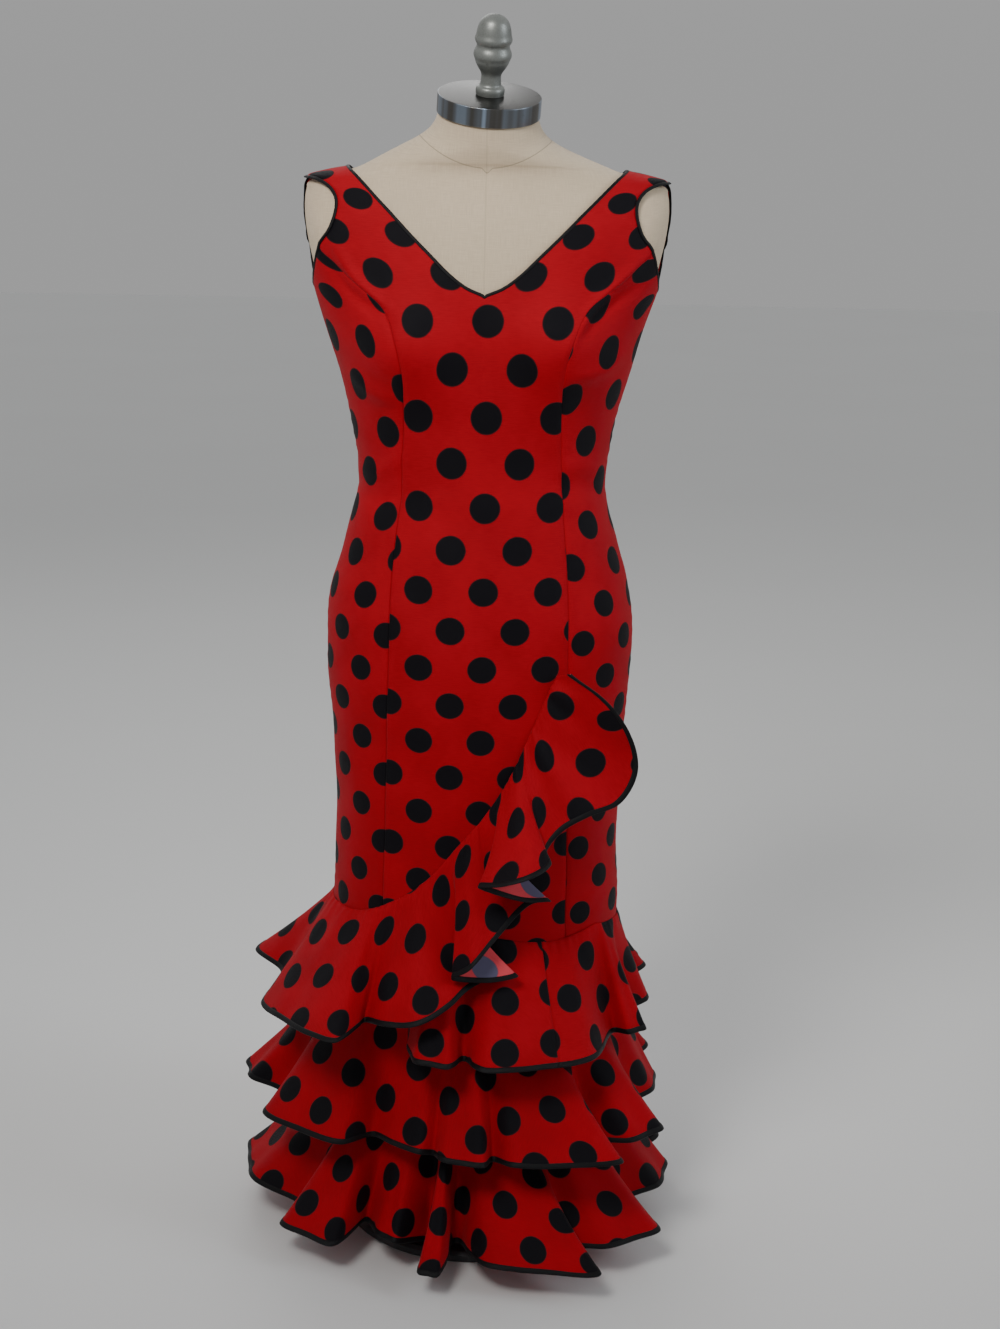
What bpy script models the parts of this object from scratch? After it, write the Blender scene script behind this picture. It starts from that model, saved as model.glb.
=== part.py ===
# Flamenco dress on its limbless dress form, at real size, in metres.
# +Z is up, the front looks along -Y, and the origin is the middle of the base's underside.
# Levels in the tables are heights over the waist, and "out" is the distance in front of the axis.

import math

import bmesh
import bpy
import numpy as np

# Driving sizes
waist_height = 0.885
cloth = 0.0014              # wall of the dress and of the flounces
seam_gap = 0.0003           # between two pieces that meet at a seam
form_inset = 0.0039         # from the outside of the dress to the form, where the cloth rests on it
neckline_width = 0.0035     # black binding round the neck and the armholes
hem_width = 0.0062          # black binding along the flounces
binding_thickness = 0.0024
base_skirt_end = -0.722     # level where the straight skirt stops, under the last flounce

# The dress's outside, a row for each level
# level, half width, front depth, back depth, middle of the depth, squareness
body_sections = np.array([
    (-0.740, 0.152, 0.123, 0.124, 0.000, 2.10),
    (-0.600, 0.159, 0.123, 0.126, 0.000, 2.10),
    (-0.500, 0.165, 0.122, 0.126, 0.000, 2.15),
    (-0.400, 0.162, 0.118, 0.122, 0.000, 2.20),
    (-0.300, 0.164, 0.117, 0.124, 0.000, 2.20),
    (-0.200, 0.171, 0.118, 0.132, 0.000, 2.25),
    (-0.140, 0.171, 0.117, 0.128, 0.000, 2.25),
    (-0.070, 0.153, 0.111, 0.108, 0.000, 2.20),
    (0.000, 0.137, 0.103, 0.090, 0.000, 2.15),
    (0.060, 0.144, 0.105, 0.092, 0.000, 2.15),
    (0.110, 0.156, 0.108, 0.102, 0.000, 2.20),
    (0.160, 0.171, 0.110, 0.110, 0.001, 2.25),
    (0.210, 0.187, 0.107, 0.112, 0.003, 2.30),
    (0.250, 0.199, 0.101, 0.110, 0.005, 2.30),
    (0.280, 0.204, 0.093, 0.102, 0.007, 2.20),
    (0.305, 0.205, 0.081, 0.088, 0.009, 2.00),
    (0.318, 0.202, 0.072, 0.076, 0.010, 1.90),
    (0.326, 0.194, 0.066, 0.068, 0.010, 1.85),
    (0.332, 0.173, 0.064, 0.062, 0.010, 1.85),
    (0.337, 0.1495, 0.063, 0.058, 0.009, 1.90),
    (0.3425, 0.134, 0.063, 0.055, 0.007, 1.95),
    (0.350, 0.118, 0.062, 0.053, 0.004, 2.00),
    (0.358, 0.1005, 0.060, 0.053, 0.001, 2.00),
    (0.366, 0.081, 0.059, 0.054, -0.002, 2.00),
    (0.374, 0.064, 0.059, 0.055, -0.003, 2.00),
])
bust_across = 0.088
bust_level = 0.155
bust_fullness = 0.024
bust_spread = 0.052
front_fade = 0.030          # the bust fades out over this depth at the sides

# Seam and edge lines of the bodice: level and distance from the middle
front_princess = np.array([
    (-0.740, 0.104), (-0.500, 0.103), (-0.270, 0.100), (-0.180, 0.098), (-0.100, 0.096),
    (0.000, 0.087), (0.085, 0.084), (0.130, 0.086), (0.160, 0.093), (0.200, 0.112),
    (0.222, 0.142), (0.252, 0.178),
])
back_princess = np.array([
    (-0.740, 0.098), (-0.300, 0.098), (-0.160, 0.096), (-0.080, 0.084), (0.000, 0.076),
    (0.060, 0.080), (0.120, 0.090), (0.170, 0.106), (0.200, 0.126), (0.222, 0.152),
    (0.252, 0.194),
])
panel_levels = [
    base_skirt_end, -0.600, -0.500, -0.420, -0.340, -0.260, -0.190, -0.130, -0.070, -0.020,
    0.030, 0.080, 0.105, 0.130, 0.155, 0.180, 0.197,
]
# The rows above them fan out: princess seam's level, side seam's level
armhole_rows = [(0.209, 0.196), (0.223, 0.201), (0.238, 0.205), (0.252, 0.208)]
side_seam_top = 0.192       # side seam's level in the row that meets the last panel level
normal_step = 0.0008        # for working out which way the surface faces
panel_columns = 5           # in half of the front, and in each side of the back
side_columns = 4
armhole_hollow = 1.8        # how round the armhole is where it meets the side seam

# Straps from the bottom of the neckline to the shoulder seam:
# inner edge's distance and level, outer edge's distance and level
front_strap = [
    (0.000, 0.207, None, 0.209),
    (0.020, 0.216, None, 0.223),
    (0.039, 0.230, None, 0.238),
    (0.060, 0.250, 0.1780, 0.252),
    (0.080, 0.269, 0.1660, 0.270),
    (0.100, 0.289, 0.1590, 0.289),
    (0.118, 0.306, 0.1590, 0.305),
    (0.131, 0.3185, 0.1680, 0.317),
    (0.1425, 0.3290, 0.1830, 0.324),
]
back_strap = [
    (0.000, 0.214, None, 0.209),
    (0.028, 0.220, None, 0.223),
    (0.056, 0.234, None, 0.238),
    (0.082, 0.254, 0.1940, 0.252),
    (0.103, 0.276, 0.1975, 0.270),
    (0.120, 0.296, 0.1995, 0.289),
    (0.133, 0.311, 0.1990, 0.305),
    (0.141, 0.322, 0.1975, 0.317),
    (0.1475, 0.3295, 0.1935, 0.324),
]
shoulder_inner = 0.1520
shoulder_outer = 0.196

# Where the first flounce is sewn on: direction round the body in degrees, level.
# It starts in front, goes right round and then climbs the front as a cascade.
# -90 is the front, 0 the right of a viewer, 90 the back, 180 the left.
spiral_start = -125
spiral_seam = np.array([
    (spiral_start, -0.494), (-80, -0.498), (-58, -0.506), (-45, -0.496), (-25, -0.500), (0, -0.506),
    (60, -0.502), (120, -0.500), (180, -0.488),
])
# The climb itself: distance from the middle, level
climb = np.array([
    (-0.172, -0.487), (-0.130, -0.482), (-0.088, -0.460), (-0.045, -0.424), (-0.019, -0.391),
    (0.011, -0.354), (0.041, -0.301), (0.060, -0.256), (0.080, -0.207), (0.092, -0.186),
])

# Folds of each flounce at its hem, a row for each: direction and reach of the fold's two
# shoulders, direction and reach of the hollow after it, level of the hem
flounce_one_folds = [
    (-108, 0.199, -97, 0.204, -93, 0.172, -0.620),
    (-86, 0.209, -52, 0.218, -28, 0.184, -0.620),
    (-29, 0.205, -23, 0.216, -13, 0.182, -0.620),
    (-3, 0.204, 8, 0.206, 14, 0.186, -0.616),
    (23, 0.226, 34, 0.236, 44, 0.192, -0.612),
    (54, 0.228, 68, 0.232, 76, 0.184, -0.616),
    (85, 0.226, 99, 0.228, 108, 0.182, -0.618),
    (117, 0.230, 132, 0.238, 141, 0.200, -0.612),
    (153, 0.262, 167, 0.272, 180, 0.228, -0.590),
]
flounce_two_folds = [
    (-189, 0.276, -178, 0.264, -174, 0.226, -0.726),
    (-160, 0.256, -132, 0.217, -130, 0.174, -0.733),
    (-119, 0.184, -107, 0.192, -103, 0.180, -0.732),
    (-98, 0.202, -86, 0.212, -82, 0.188, -0.733),
    (-76, 0.214, -48, 0.256, -45, 0.206, -0.734),
    (-39, 0.236, -27, 0.248, -17, 0.196, -0.730),
    (-7, 0.216, 6, 0.220, 15, 0.190, -0.724),
    (26, 0.240, 41, 0.246, 50, 0.196, -0.726),
    (60, 0.238, 75, 0.236, 84, 0.188, -0.732),
    (93, 0.234, 108, 0.240, 117, 0.190, -0.730),
    (127, 0.248, 143, 0.252, 155, 0.214, -0.728),
]
flounce_three_folds = [
    (-192, 0.276, -169, 0.262, -156, 0.218, -0.838),
    (-147, 0.258, -129, 0.242, -133, 0.176, -0.845),
    (-122, 0.196, -114, 0.202, -107, 0.160, -0.842),
    (-103, 0.238, -98, 0.240, -95, 0.164, -0.853),
    (-85, 0.222, -58, 0.278, -57, 0.218, -0.848),
    (-50, 0.244, -33, 0.262, -23, 0.202, -0.842),
    (-13, 0.230, 3, 0.236, 12, 0.202, -0.835),
    (22, 0.250, 37, 0.254, 46, 0.202, -0.842),
    (56, 0.248, 72, 0.250, 80, 0.196, -0.846),
    (89, 0.250, 106, 0.246, 115, 0.194, -0.846),
    (125, 0.254, 143, 0.260, 155, 0.220, -0.842),
]
first_hollow = (-117, 0.158)    # where the first flounce starts: direction and reach
hollow_drop = 0.004         # hem in a hollow, under the hem at its shoulders
flounce_two_seam = -0.592
flounce_three_seam = -0.708
front_cut, left_cut, right_cut = -58, 180, 5    # directions of the flounces' own joins
skirt_half_width, skirt_half_depth = 0.160, 0.123   # about where the flounces are sewn on
flare_out = 1.15            # how late the folds stand out between seam and hem
flare_along = 1.7           # and how late they swing sideways
seam_lift = 0.0003          # flounce over the skirt at its seam, on top of the seam gap
flounce_rows = (0, 0.36, 1)  # shares of the way down where the sheet has its points
steps_between_keys = 12
longest_facet = 0.045       # along the hem
widest_turn = math.radians(50)

# The cascade's hem from the left side up to its point, a row for each turn of the edge:
# place on the climb, then the hem's distance from the middle, its out and its level
cascade_turns = [
    (-0.163, -0.242, 0.085, -0.597),
    (-0.145, -0.210, 0.150, -0.590),
    (-0.128, -0.180, 0.190, -0.588),
    (-0.113, -0.148, 0.208, -0.588),
    (-0.102, -0.128, 0.174, -0.587),
    (-0.094, -0.120, 0.158, -0.586),
    (-0.082, -0.095, 0.186, -0.578),
    (-0.068, -0.059, 0.200, -0.571),
    (-0.054, -0.026, 0.189, -0.555),
    (-0.044, -0.002, 0.166, -0.540),
    (-0.035, 0.034, 0.146, -0.531),
    (-0.031, 0.050, 0.156, -0.529),
    (-0.026, 0.020, 0.167, -0.532),
    (-0.019, -0.023, 0.177, -0.525),
    (-0.011, -0.002, 0.189, -0.508),
    (0.001, 0.022, 0.172, -0.484),
    (0.008, 0.062, 0.149, -0.447),
    (0.014, 0.084, 0.159, -0.439),
    (0.020, 0.056, 0.172, -0.435),
    (0.027, 0.004, 0.190, -0.413),
    (0.033, 0.030, 0.210, -0.404),
    (0.040, 0.060, 0.211, -0.395),
    (0.046, 0.082, 0.186, -0.388),
    (0.051, 0.078, 0.158, -0.382),
    (0.056, 0.095, 0.146, -0.363),
    (0.060, 0.124, 0.143, -0.346),
    (0.065, 0.158, 0.134, -0.333),
    (0.070, 0.176, 0.128, -0.298),
    (0.075, 0.165, 0.131, -0.252),
    (0.080, 0.137, 0.133, -0.216),
    (0.085, 0.101, 0.124, -0.191),
]

# Form and stand
form_bottom = -0.240
form_columns = 36
form_levels = [
    form_bottom, -0.220, -0.180, -0.130, -0.070, -0.020, 0.030, 0.080, 0.105, 0.130, 0.155, 0.180,
    0.205, 0.235, 0.262, 0.285, 0.303, 0.315, 0.323, 0.329, 0.334, 0.339, 0.345, 0.352, 0.359, 0.366,
    0.3715,
]
neck_tilt = math.radians(15.5)  # forwards
neck_lean = math.radians(3.3)   # towards +X, as in the photo
tilt_levels = (0.335, 0.375)    # the form's rings tilt more and more between these levels
lean_reach = (0.100, 0.140)     # and lean no more between these distances from the middle
neck_top = (-0.0075, 0.393)     # middle of the neck's top: along Y, level
neck_foot = (-0.0035, 0.370)    # middle of its foot
# share of the way up, half width, half depth
neck_rings = [(0.22, 0.0592, 0.0545), (0.52, 0.0552, 0.0538), (1.0, 0.0530, 0.0530)]
cap_radius = 0.0555
cap_height = 0.0205
cap_bevel = 0.0008
finial_profile = [          # radius and height: foot, stem, bulge, ring, ring, acorn
    (0, 0), (0.0150, 0), (0.0155, 0.0045), (0.0146, 0.0080), (0.0120, 0.0100), (0.0110, 0.0130),
    (0.0107, 0.0205), (0.0122, 0.0247), (0.0148, 0.0285), (0.0174, 0.0333), (0.0186, 0.0370),
    (0.0202, 0.0415), (0.0196, 0.0458), (0.0178, 0.0498), (0.0175, 0.0525), (0.0190, 0.0553),
    (0.0199, 0.0585), (0.0191, 0.0617), (0.0186, 0.0636), (0.0179, 0.0678), (0.0166, 0.0727),
    (0.0141, 0.0777), (0.0100, 0.0814), (0.0045, 0.0839), (0, 0.0846),
]
arm_stump_inset = 0.0040    # form's side inside the armholes, behind the rest of it
form_slack = 0.0025         # more room round the waist and the hips
shoulder_slack = 0.0010
pole_radius = 0.014
flange_profile = [          # radius, distance under the form
    (pole_radius, 0.030), (0.022, 0.022), (0.026, 0.007), (0.050, 0.005), (0.050, 0), (0, 0),
]
base_radius = 0.150
hub_height = 0.060
base_profile = [            # radius, height
    (0, 0), (base_radius - 0.003, 0), (base_radius, 0.003), (base_radius, 0.009),
    (base_radius - 0.004, 0.013), (0.060, 0.020), (0.026, 0.030), (0.022, hub_height - 0.004),
    (0.020, hub_height), (0, hub_height),
]

colours = {
    "cloth": ((0.58, 0.008, 0.006), 0.0, 0.75),
    "binding": ((0.008, 0.008, 0.010), 0.0, 0.60),
    "canvas": ((0.62, 0.56, 0.44), 0.0, 0.85),
    "steel": ((0.45, 0.45, 0.46), 1.0, 0.32),
    "silver_paint": ((0.42, 0.43, 0.40), 0.6, 0.40),
    "iron": ((0.03, 0.03, 0.032), 0.5, 0.50),
}


def smooth_rows(table, at):
    """Catmull-Rom values of a table's columns, read at its first column."""
    table = np.asarray(table, float)
    keys, values = table[:, 0], table[:, 1:]
    at = np.clip(np.asarray(at, float), keys[0], keys[-1])
    slopes = np.gradient(values, keys, axis=0)
    low = np.clip(np.searchsorted(keys, at) - 1, 0, len(keys) - 2)
    span = (keys[low + 1] - keys[low])[..., None]
    part = (at[..., None] - keys[low][..., None]) / span
    first = values[low] * (1 + 2 * part) * (1 - part) ** 2
    second = values[low + 1] * (3 - 2 * part) * part ** 2
    leave = slopes[low] * span * part * (1 - part) ** 2
    arrive = slopes[low + 1] * span * part ** 2 * (1 - part)
    return first + second + leave - arrive


def bust(across, level):
    """How far the bodice is filled out in front."""
    side = (np.abs(across) - bust_across) / bust_spread
    height = (level - bust_level) / bust_spread
    return bust_fullness * np.exp(-side ** 2 - height ** 2)


def in_front(depth):
    """1 in front, 0 behind the sides, and smooth between."""
    forward = np.clip(-depth / front_fade, 0, 1)
    return forward * forward * (3 - 2 * forward)


def body_value(points):
    """Below 0 inside the dress's outside face, above 0 outside it."""
    half, front, back, middle, square = np.moveaxis(smooth_rows(body_sections, points[..., 2]), -1, 0)
    depth = points[..., 1] - middle
    depth = depth + bust(points[..., 0], points[..., 2]) * in_front(depth)
    reach = np.where(depth < 0, front, back)
    value = (np.abs(points[..., 0]) / half) ** square + (np.abs(depth) / reach) ** square
    return value ** (1 / square)


def outward(points):
    """Unit normals of the dress's outside face."""
    step = np.eye(3) * normal_step
    slope = [body_value(points + axis) - body_value(points - axis) for axis in step]
    slope = np.stack(slope, axis=-1)
    return slope / np.linalg.norm(slope, axis=-1, keepdims=True)


def on_body(turn, level):
    """Point of the dress's outside face at a turn round the body, in radians, and a level."""
    turn, level = np.broadcast_arrays(np.asarray(turn, float), np.asarray(level, float))
    half, front, back, middle, square = np.moveaxis(smooth_rows(body_sections, level), -1, 0)
    across, depth = np.cos(turn), np.sin(turn)
    x = half * np.sign(across) * np.abs(across) ** (2 / square)
    y = np.where(depth < 0, front, back) * np.sign(depth) * np.abs(depth) ** (2 / square)
    y = middle + y - bust(x, level) * in_front(y)
    return np.stack([x, y, level], axis=-1)


def turn_at(across, level, side):
    """Turn of the point at a distance from the middle, on the front (-1) or the back (1)."""
    half, _, _, _, square = smooth_rows(body_sections, level)
    share = min(abs(across) / half, 1.0) ** (square / 2)
    turn = math.acos(share) if across >= 0 else math.pi - math.acos(share)
    return side * turn


def ridge_level(across):
    """Level at which the shoulder's ridge has a distance from the middle."""
    levels = np.linspace(0.322, 0.360, 400)
    half = smooth_rows(body_sections, levels)[:, 0]
    return float(levels[np.argmin(np.abs(half - across))])


def new_object(name, points, faces, colour, smooth=True):
    """A closed mesh object with its own material."""
    mesh = bpy.data.meshes.new(name)
    mesh.from_pydata([tuple(float(value) for value in point) for point in points], [], faces)
    mesh.validate()
    form = bmesh.new()
    form.from_mesh(mesh)
    bmesh.ops.recalc_face_normals(form, faces=form.faces)
    bmesh.ops.triangulate(form, faces=form.faces)
    if form.calc_volume(signed=True) < 0:
        bmesh.ops.reverse_faces(form, faces=form.faces)
    form.to_mesh(mesh)
    form.free()
    if smooth:
        mesh.shade_smooth()
        mesh.set_sharp_from_angle(angle=math.radians(40))
    shade, metallic, roughness = colours[colour]
    material = bpy.data.materials.new(name)
    material.use_nodes = True
    shader = material.node_tree.nodes["Principled BSDF"]
    shader.inputs["Base Color"].default_value = (*shade, 1)
    shader.inputs["Metallic"].default_value = metallic
    shader.inputs["Roughness"].default_value = roughness
    mesh.materials.append(material)
    item = bpy.data.objects.new(name, mesh)
    item.location = (0, 0, waist_height)
    bpy.context.collection.objects.link(item)
    return item


def wall(name, grid, normals, outer, inner, colour):
    """A sheet of points made a closed wall between two distances from it."""
    rows, columns = grid.shape[:2]
    points = np.concatenate([(grid + normals * outer).reshape(-1, 3),
                             (grid + normals * inner).reshape(-1, 3)])
    back = rows * columns
    faces = []
    for row in range(rows - 1):
        for column in range(columns - 1):
            first = row * columns + column
            ring = (first, first + 1, first + columns + 1, first + columns)
            faces.append(ring)
            faces.append(tuple(back + place for place in reversed(ring)))
    rim = list(range(columns))
    rim += [row * columns + columns - 1 for row in range(1, rows)]
    rim += [(rows - 1) * columns + column for column in range(columns - 2, -1, -1)]
    rim += [row * columns for row in range(rows - 2, 0, -1)]
    for here, there in zip(rim, rim[1:] + rim[:1]):
        faces.append((here, back + here, back + there, there))
    return new_object(name, points, faces, colour)


def strip(name, path, across, normals, width, thickness, closed):
    """A binding: an oblong section carried along a path, beside it by its width."""
    count = len(path)
    corners = [(seam_gap, thickness / 2), (seam_gap + width, thickness / 2),
               (seam_gap + width, -thickness / 2), (seam_gap, -thickness / 2)]
    points = np.concatenate([path + across * side + normals * lift for side, lift in corners])
    faces = []
    for step in range(count if closed else count - 1):
        after = (step + 1) % count
        for corner in range(4):
            here, there = corner * count, (corner + 1) % 4 * count
            faces.append((here + step, here + after, there + after, there + step))
    if not closed:
        faces.append(tuple(corner * count for corner in range(4)))
        faces.append(tuple(corner * count + count - 1 for corner in (3, 2, 1, 0)))
    return new_object(name, points, faces, "binding")


def turned(name, profile, colour, segments=32, place=(0, 0, 0), turn=(0, 0, 0)):
    """A solid of revolution from radius and height pairs, bottom to top."""
    points, faces, rings = [], [], []
    for radius, height in profile:
        if radius == 0:
            rings.append([len(points)])
            points.append((0, 0, height))
            continue
        rings.append(range(len(points), len(points) + segments))
        for step in range(segments):
            angle = 2 * math.pi * step / segments
            points.append((radius * math.cos(angle), radius * math.sin(angle), height))
    for lower, upper in zip(rings, rings[1:]):
        for step in range(segments):
            after = (step + 1) % segments
            if len(lower) == 1:
                faces.append((lower[0], upper[after], upper[step]))
            elif len(upper) == 1:
                faces.append((lower[step], lower[after], upper[0]))
            else:
                faces.append((lower[step], lower[after], upper[after], upper[step]))
    item = new_object(name, points, faces, colour)
    item.rotation_euler = turn
    item.location = place
    return item


def panel_rows(princess, strap, side):
    """Rows of the middle panel's right half: inner and outer turns and levels."""
    rows = []
    for level in panel_levels:
        outer = turn_at(float(smooth_rows(princess, level)[0]), level, side)
        rows.append((side * math.pi / 2, level, outer, level))
    for inner, inner_level, outer, outer_level in strap:
        if outer is None:
            outer = float(smooth_rows(princess, outer_level)[0])
        rows.append((turn_at(inner, inner_level, side), inner_level,
                     turn_at(outer, outer_level, side), outer_level))
    rows.append((0.0, ridge_level(shoulder_inner), 0.0, ridge_level(shoulder_outer)))
    return rows


def body_grid(rows, columns, hollow=1.0):
    """Points on the dress between the two ends of each row, which sags where hollow is over 1."""
    grid = []
    share = np.linspace(0, 1, columns + 1)
    for start, start_level, end, end_level in rows:
        level = end_level + (start_level - end_level) * (1 - share) ** hollow
        grid.append(on_body(start + (end - start) * share, level))
    return np.array(grid)


def shoulder_eased(grid, side):
    """Last row drawn back from the shoulder seam by half of its gap."""
    grid = grid.copy()
    grid[-1, :, 1] += side * seam_gap / 2
    return grid


def seam_eased(grid, first=True, last=True):
    """First and last columns drawn back from their seams by half of the gap."""
    grid = grid.copy()
    for edge, inside, wanted in ((0, 1, first), (-1, -2, last)):
        if wanted:
            step = grid[:, inside] - grid[:, edge]
            grid[:, edge] += step / np.linalg.norm(step, axis=1, keepdims=True) * seam_gap / 2
    return grid


def mirrored(grid):
    """The same points on the other side of the body."""
    return grid * np.array([-1, 1, 1])


def body_wall(name, grid):
    wall(name, grid, outward(grid), 0, -cloth, "cloth")


def front_middle():
    """The front between the princess seams, with both straps, as one piece."""
    rows = panel_rows(front_princess, front_strap, -1)
    half = body_grid(rows, panel_columns)
    half = shoulder_eased(seam_eased(half, first=False), -1)
    joined = len(panel_levels) + 1      # rows that reach the middle line
    inner_half = half - outward(half) * cloth
    points, index = [], {}

    def point_index(side, face, row, column):
        """Both halves share the points of the middle line up to the neckline."""
        if column == 0 and row < joined:
            side = 1
        key = (side, face, row, column)
        if key not in index:
            index[key] = len(points)
            place = (half, inner_half)[face][row, column]
            points.append(place * np.array([side, 1, 1]))
        return index[key]

    faces = []
    last, columns = half.shape[0] - 1, half.shape[1] - 1
    for side in (1, -1):
        for face in (0, 1):
            for row in range(last):
                for column in range(columns):
                    ring = [(row, column), (row, column + 1), (row + 1, column + 1), (row + 1, column)]
                    faces.append(tuple(point_index(side, face, *place) for place in ring))
        edge = [(0, column) for column in range(columns + 1)]
        edge += [(row, columns) for row in range(1, last + 1)]
        edge += [(last, column) for column in range(columns - 1, -1, -1)]
        edge += [(row, 0) for row in range(last - 1, joined - 2, -1)]
        for here, there in zip(edge, edge[1:]):
            faces.append((point_index(side, 0, *here), point_index(side, 1, *here),
                          point_index(side, 1, *there), point_index(side, 0, *there)))
    new_object("front_middle", points, faces, "cloth")


def side_rows(princess, strap, side):
    """Rows of a side panel: from the princess seam to the side seam."""
    rows = []
    for level in panel_levels:
        start = turn_at(float(smooth_rows(princess, level)[0]), level, side)
        end_level = side_seam_top if level == panel_levels[-1] else level
        rows.append((start, level, 0.0, end_level))
    for (_, _, outer, _), (level, end_level) in zip(strap, armhole_rows):
        if outer is None:
            outer = float(smooth_rows(princess, level)[0])
        rows.append((turn_at(outer, level, side), level, 0.0, end_level))
    return rows


def side_grid(princess, strap, side):
    return body_grid(side_rows(princess, strap, side), side_columns, armhole_hollow)


def bodice():
    front_middle()
    back_half = body_grid(panel_rows(back_princess, back_strap, 1), panel_columns)
    back_half = shoulder_eased(seam_eased(back_half), 1)
    front_side = seam_eased(side_grid(front_princess, front_strap, -1))
    back_side = seam_eased(side_grid(back_princess, back_strap, 1))
    for label, turned_over in (("right", False), ("left", True)):
        for name, grid in (("back", back_half), ("side_front", front_side), ("side_back", back_side)):
            body_wall(f"{name}_{label}", mirrored(grid) if turned_over else grid)


def edge_binding(name, path):
    """A binding round an opening, beside a closed path on the dress."""
    normals = outward(path)
    along = np.roll(path, -1, axis=0) - path
    along /= np.linalg.norm(along, axis=1, keepdims=True)
    before = np.roll(along, 1, axis=0)
    sideways = np.cross(normals, along), np.cross(normals, before)
    across = sideways[0] + sideways[1]
    across /= np.linalg.norm(across, axis=1, keepdims=True)
    mitre = np.clip(np.sum(across * sideways[0], axis=1, keepdims=True), 0.6, 1)
    middle = path - normals * cloth / 2
    strip(name, middle, across / mitre, normals, neckline_width, binding_thickness, closed=True)


def bindings_round_openings():
    front = panel_rows(front_princess, front_strap, -1)
    back = panel_rows(back_princess, back_strap, 1)
    start = len(panel_levels)
    side_top = len(armhole_rows) - 1    # strap row where the side panel ends
    front_inner = np.array([on_body(row[0], row[1]) for row in front[start:]])
    back_inner = np.array([on_body(row[0], row[1]) for row in back[start:]])
    front_outer = np.array([on_body(row[2], row[3]) for row in front[start:]])
    back_outer = np.array([on_body(row[2], row[3]) for row in back[start:]])
    neck = np.concatenate([front_inner, back_inner[-2:0:-1], mirrored(back_inner)[:-1],
                           mirrored(front_inner)[:0:-1]])
    edge_binding("neck_binding", neck)
    front_side = side_grid(front_princess, front_strap, -1)[-1]
    back_side = side_grid(back_princess, back_strap, 1)[-1]
    armhole = np.concatenate([front_side, back_side[-2:0:-1], back_outer[side_top:-1],
                              front_outer[:side_top:-1]])
    edge_binding("armhole_binding_right", armhole)
    edge_binding("armhole_binding_left", mirrored(armhole)[::-1])


def round_turn(direction):
    """Turn of the skirt's surface for a direction in degrees, past a full circle too."""
    angle = math.radians(direction)
    flat = math.atan2(math.sin(angle) / skirt_half_depth, math.cos(angle) / skirt_half_width)
    return flat + 2 * math.pi * round((angle - flat) / (2 * math.pi))


def fold_keys(folds, start_hollow, seam_level):
    """Hem and seam points of the folds: rows of seam turn, seam level, then the hem's x, y and level."""
    keys = []
    hollow_direction, hollow_reach = start_hollow
    for left, left_reach, right, right_reach, after, after_reach, level in folds:
        corners = []
        for direction, reach in ((hollow_direction, hollow_reach), (left, left_reach),
                                 (right, right_reach), (after, after_reach)):
            angle = math.radians(direction)
            corners.append((reach * math.cos(angle), reach * math.sin(angle)))
        lengths = np.cumsum([0] + [math.dist(*pair) for pair in zip(corners, corners[1:])])
        shares = lengths / lengths[-1]
        first, last = round_turn(hollow_direction), round_turn(after)
        bulge = ((corners[1][0] + corners[2][0]) / 2, (corners[1][1] + corners[2][1]) / 2)
        size = math.hypot(*bulge)
        reach = (left_reach + right_reach) / 2
        middle = (bulge[0] * reach / size, bulge[1] * reach / size)
        middle_share = (shares[1] + shares[2]) / 2
        for share, (x, y) in ((0, corners[0]), (shares[1], corners[1]), (middle_share, middle),
                              (shares[2], corners[2])):
            turn = first + (last - first) * share
            drop = hollow_drop if share == 0 else 0
            keys.append((turn, seam_level(math.degrees(turn)), x, y, level - drop))
        hollow_direction, hollow_reach = after, after_reach
    angle = math.radians(hollow_direction)
    turn = round_turn(hollow_direction)
    keys.append((turn, seam_level(math.degrees(turn)), hollow_reach * math.cos(angle),
                 hollow_reach * math.sin(angle), level - hollow_drop))
    return keys


def cascade_keys():
    """The same rows for the climb up the front."""
    keys = []
    for place, across, out, level in cascade_turns:
        seam_level = float(smooth_rows(climb, place)[0])
        turn = turn_at(place, seam_level, -1) + 2 * math.pi
        keys.append((turn, seam_level, across, -out, level))
    return keys


def smooth_keys(keys):
    """Centripetal Catmull-Rom curve through the rows, read at steps that are short in tight turns."""
    keys = np.array(keys)
    padded = np.concatenate([2 * keys[:1] - keys[1:2], keys, 2 * keys[-1:] - keys[-2:-1]])
    dense = []
    for first, second, third, fourth in zip(padded, padded[1:], padded[2:], padded[3:]):
        knots = [0.0]
        for one, other in ((first, second), (second, third), (third, fourth)):
            knots.append(knots[-1] + math.sqrt(np.linalg.norm(other[2:] - one[2:])))
        for time in np.linspace(knots[1], knots[2], steps_between_keys, endpoint=False):
            one = lerp(first, second, knots[0], knots[1], time)
            two = lerp(second, third, knots[1], knots[2], time)
            three = lerp(third, fourth, knots[2], knots[3], time)
            early = lerp(one, two, knots[0], knots[2], time)
            late = lerp(two, three, knots[1], knots[3], time)
            dense.append(lerp(early, late, knots[1], knots[2], time))
    dense.append(keys[-1])
    dense = np.array(dense)
    steps = np.diff(dense[:, 2:], axis=0)
    sizes = np.linalg.norm(steps, axis=1)
    cosines = np.sum(steps[1:] * steps[:-1], axis=1) / (sizes[1:] * sizes[:-1])
    bends = np.concatenate([[0], np.arccos(np.clip(cosines, -1, 1))])
    weight = np.concatenate([[0], np.cumsum(sizes / longest_facet + bends / widest_turn)])
    at = np.linspace(0, weight[-1], math.ceil(weight[-1]) + 1)
    return np.stack([np.interp(at, weight, column) for column in dense.T], axis=1)


def lerp(start, end, low, high, time):
    return start + (end - start) * (time - low) / (high - low)


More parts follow.
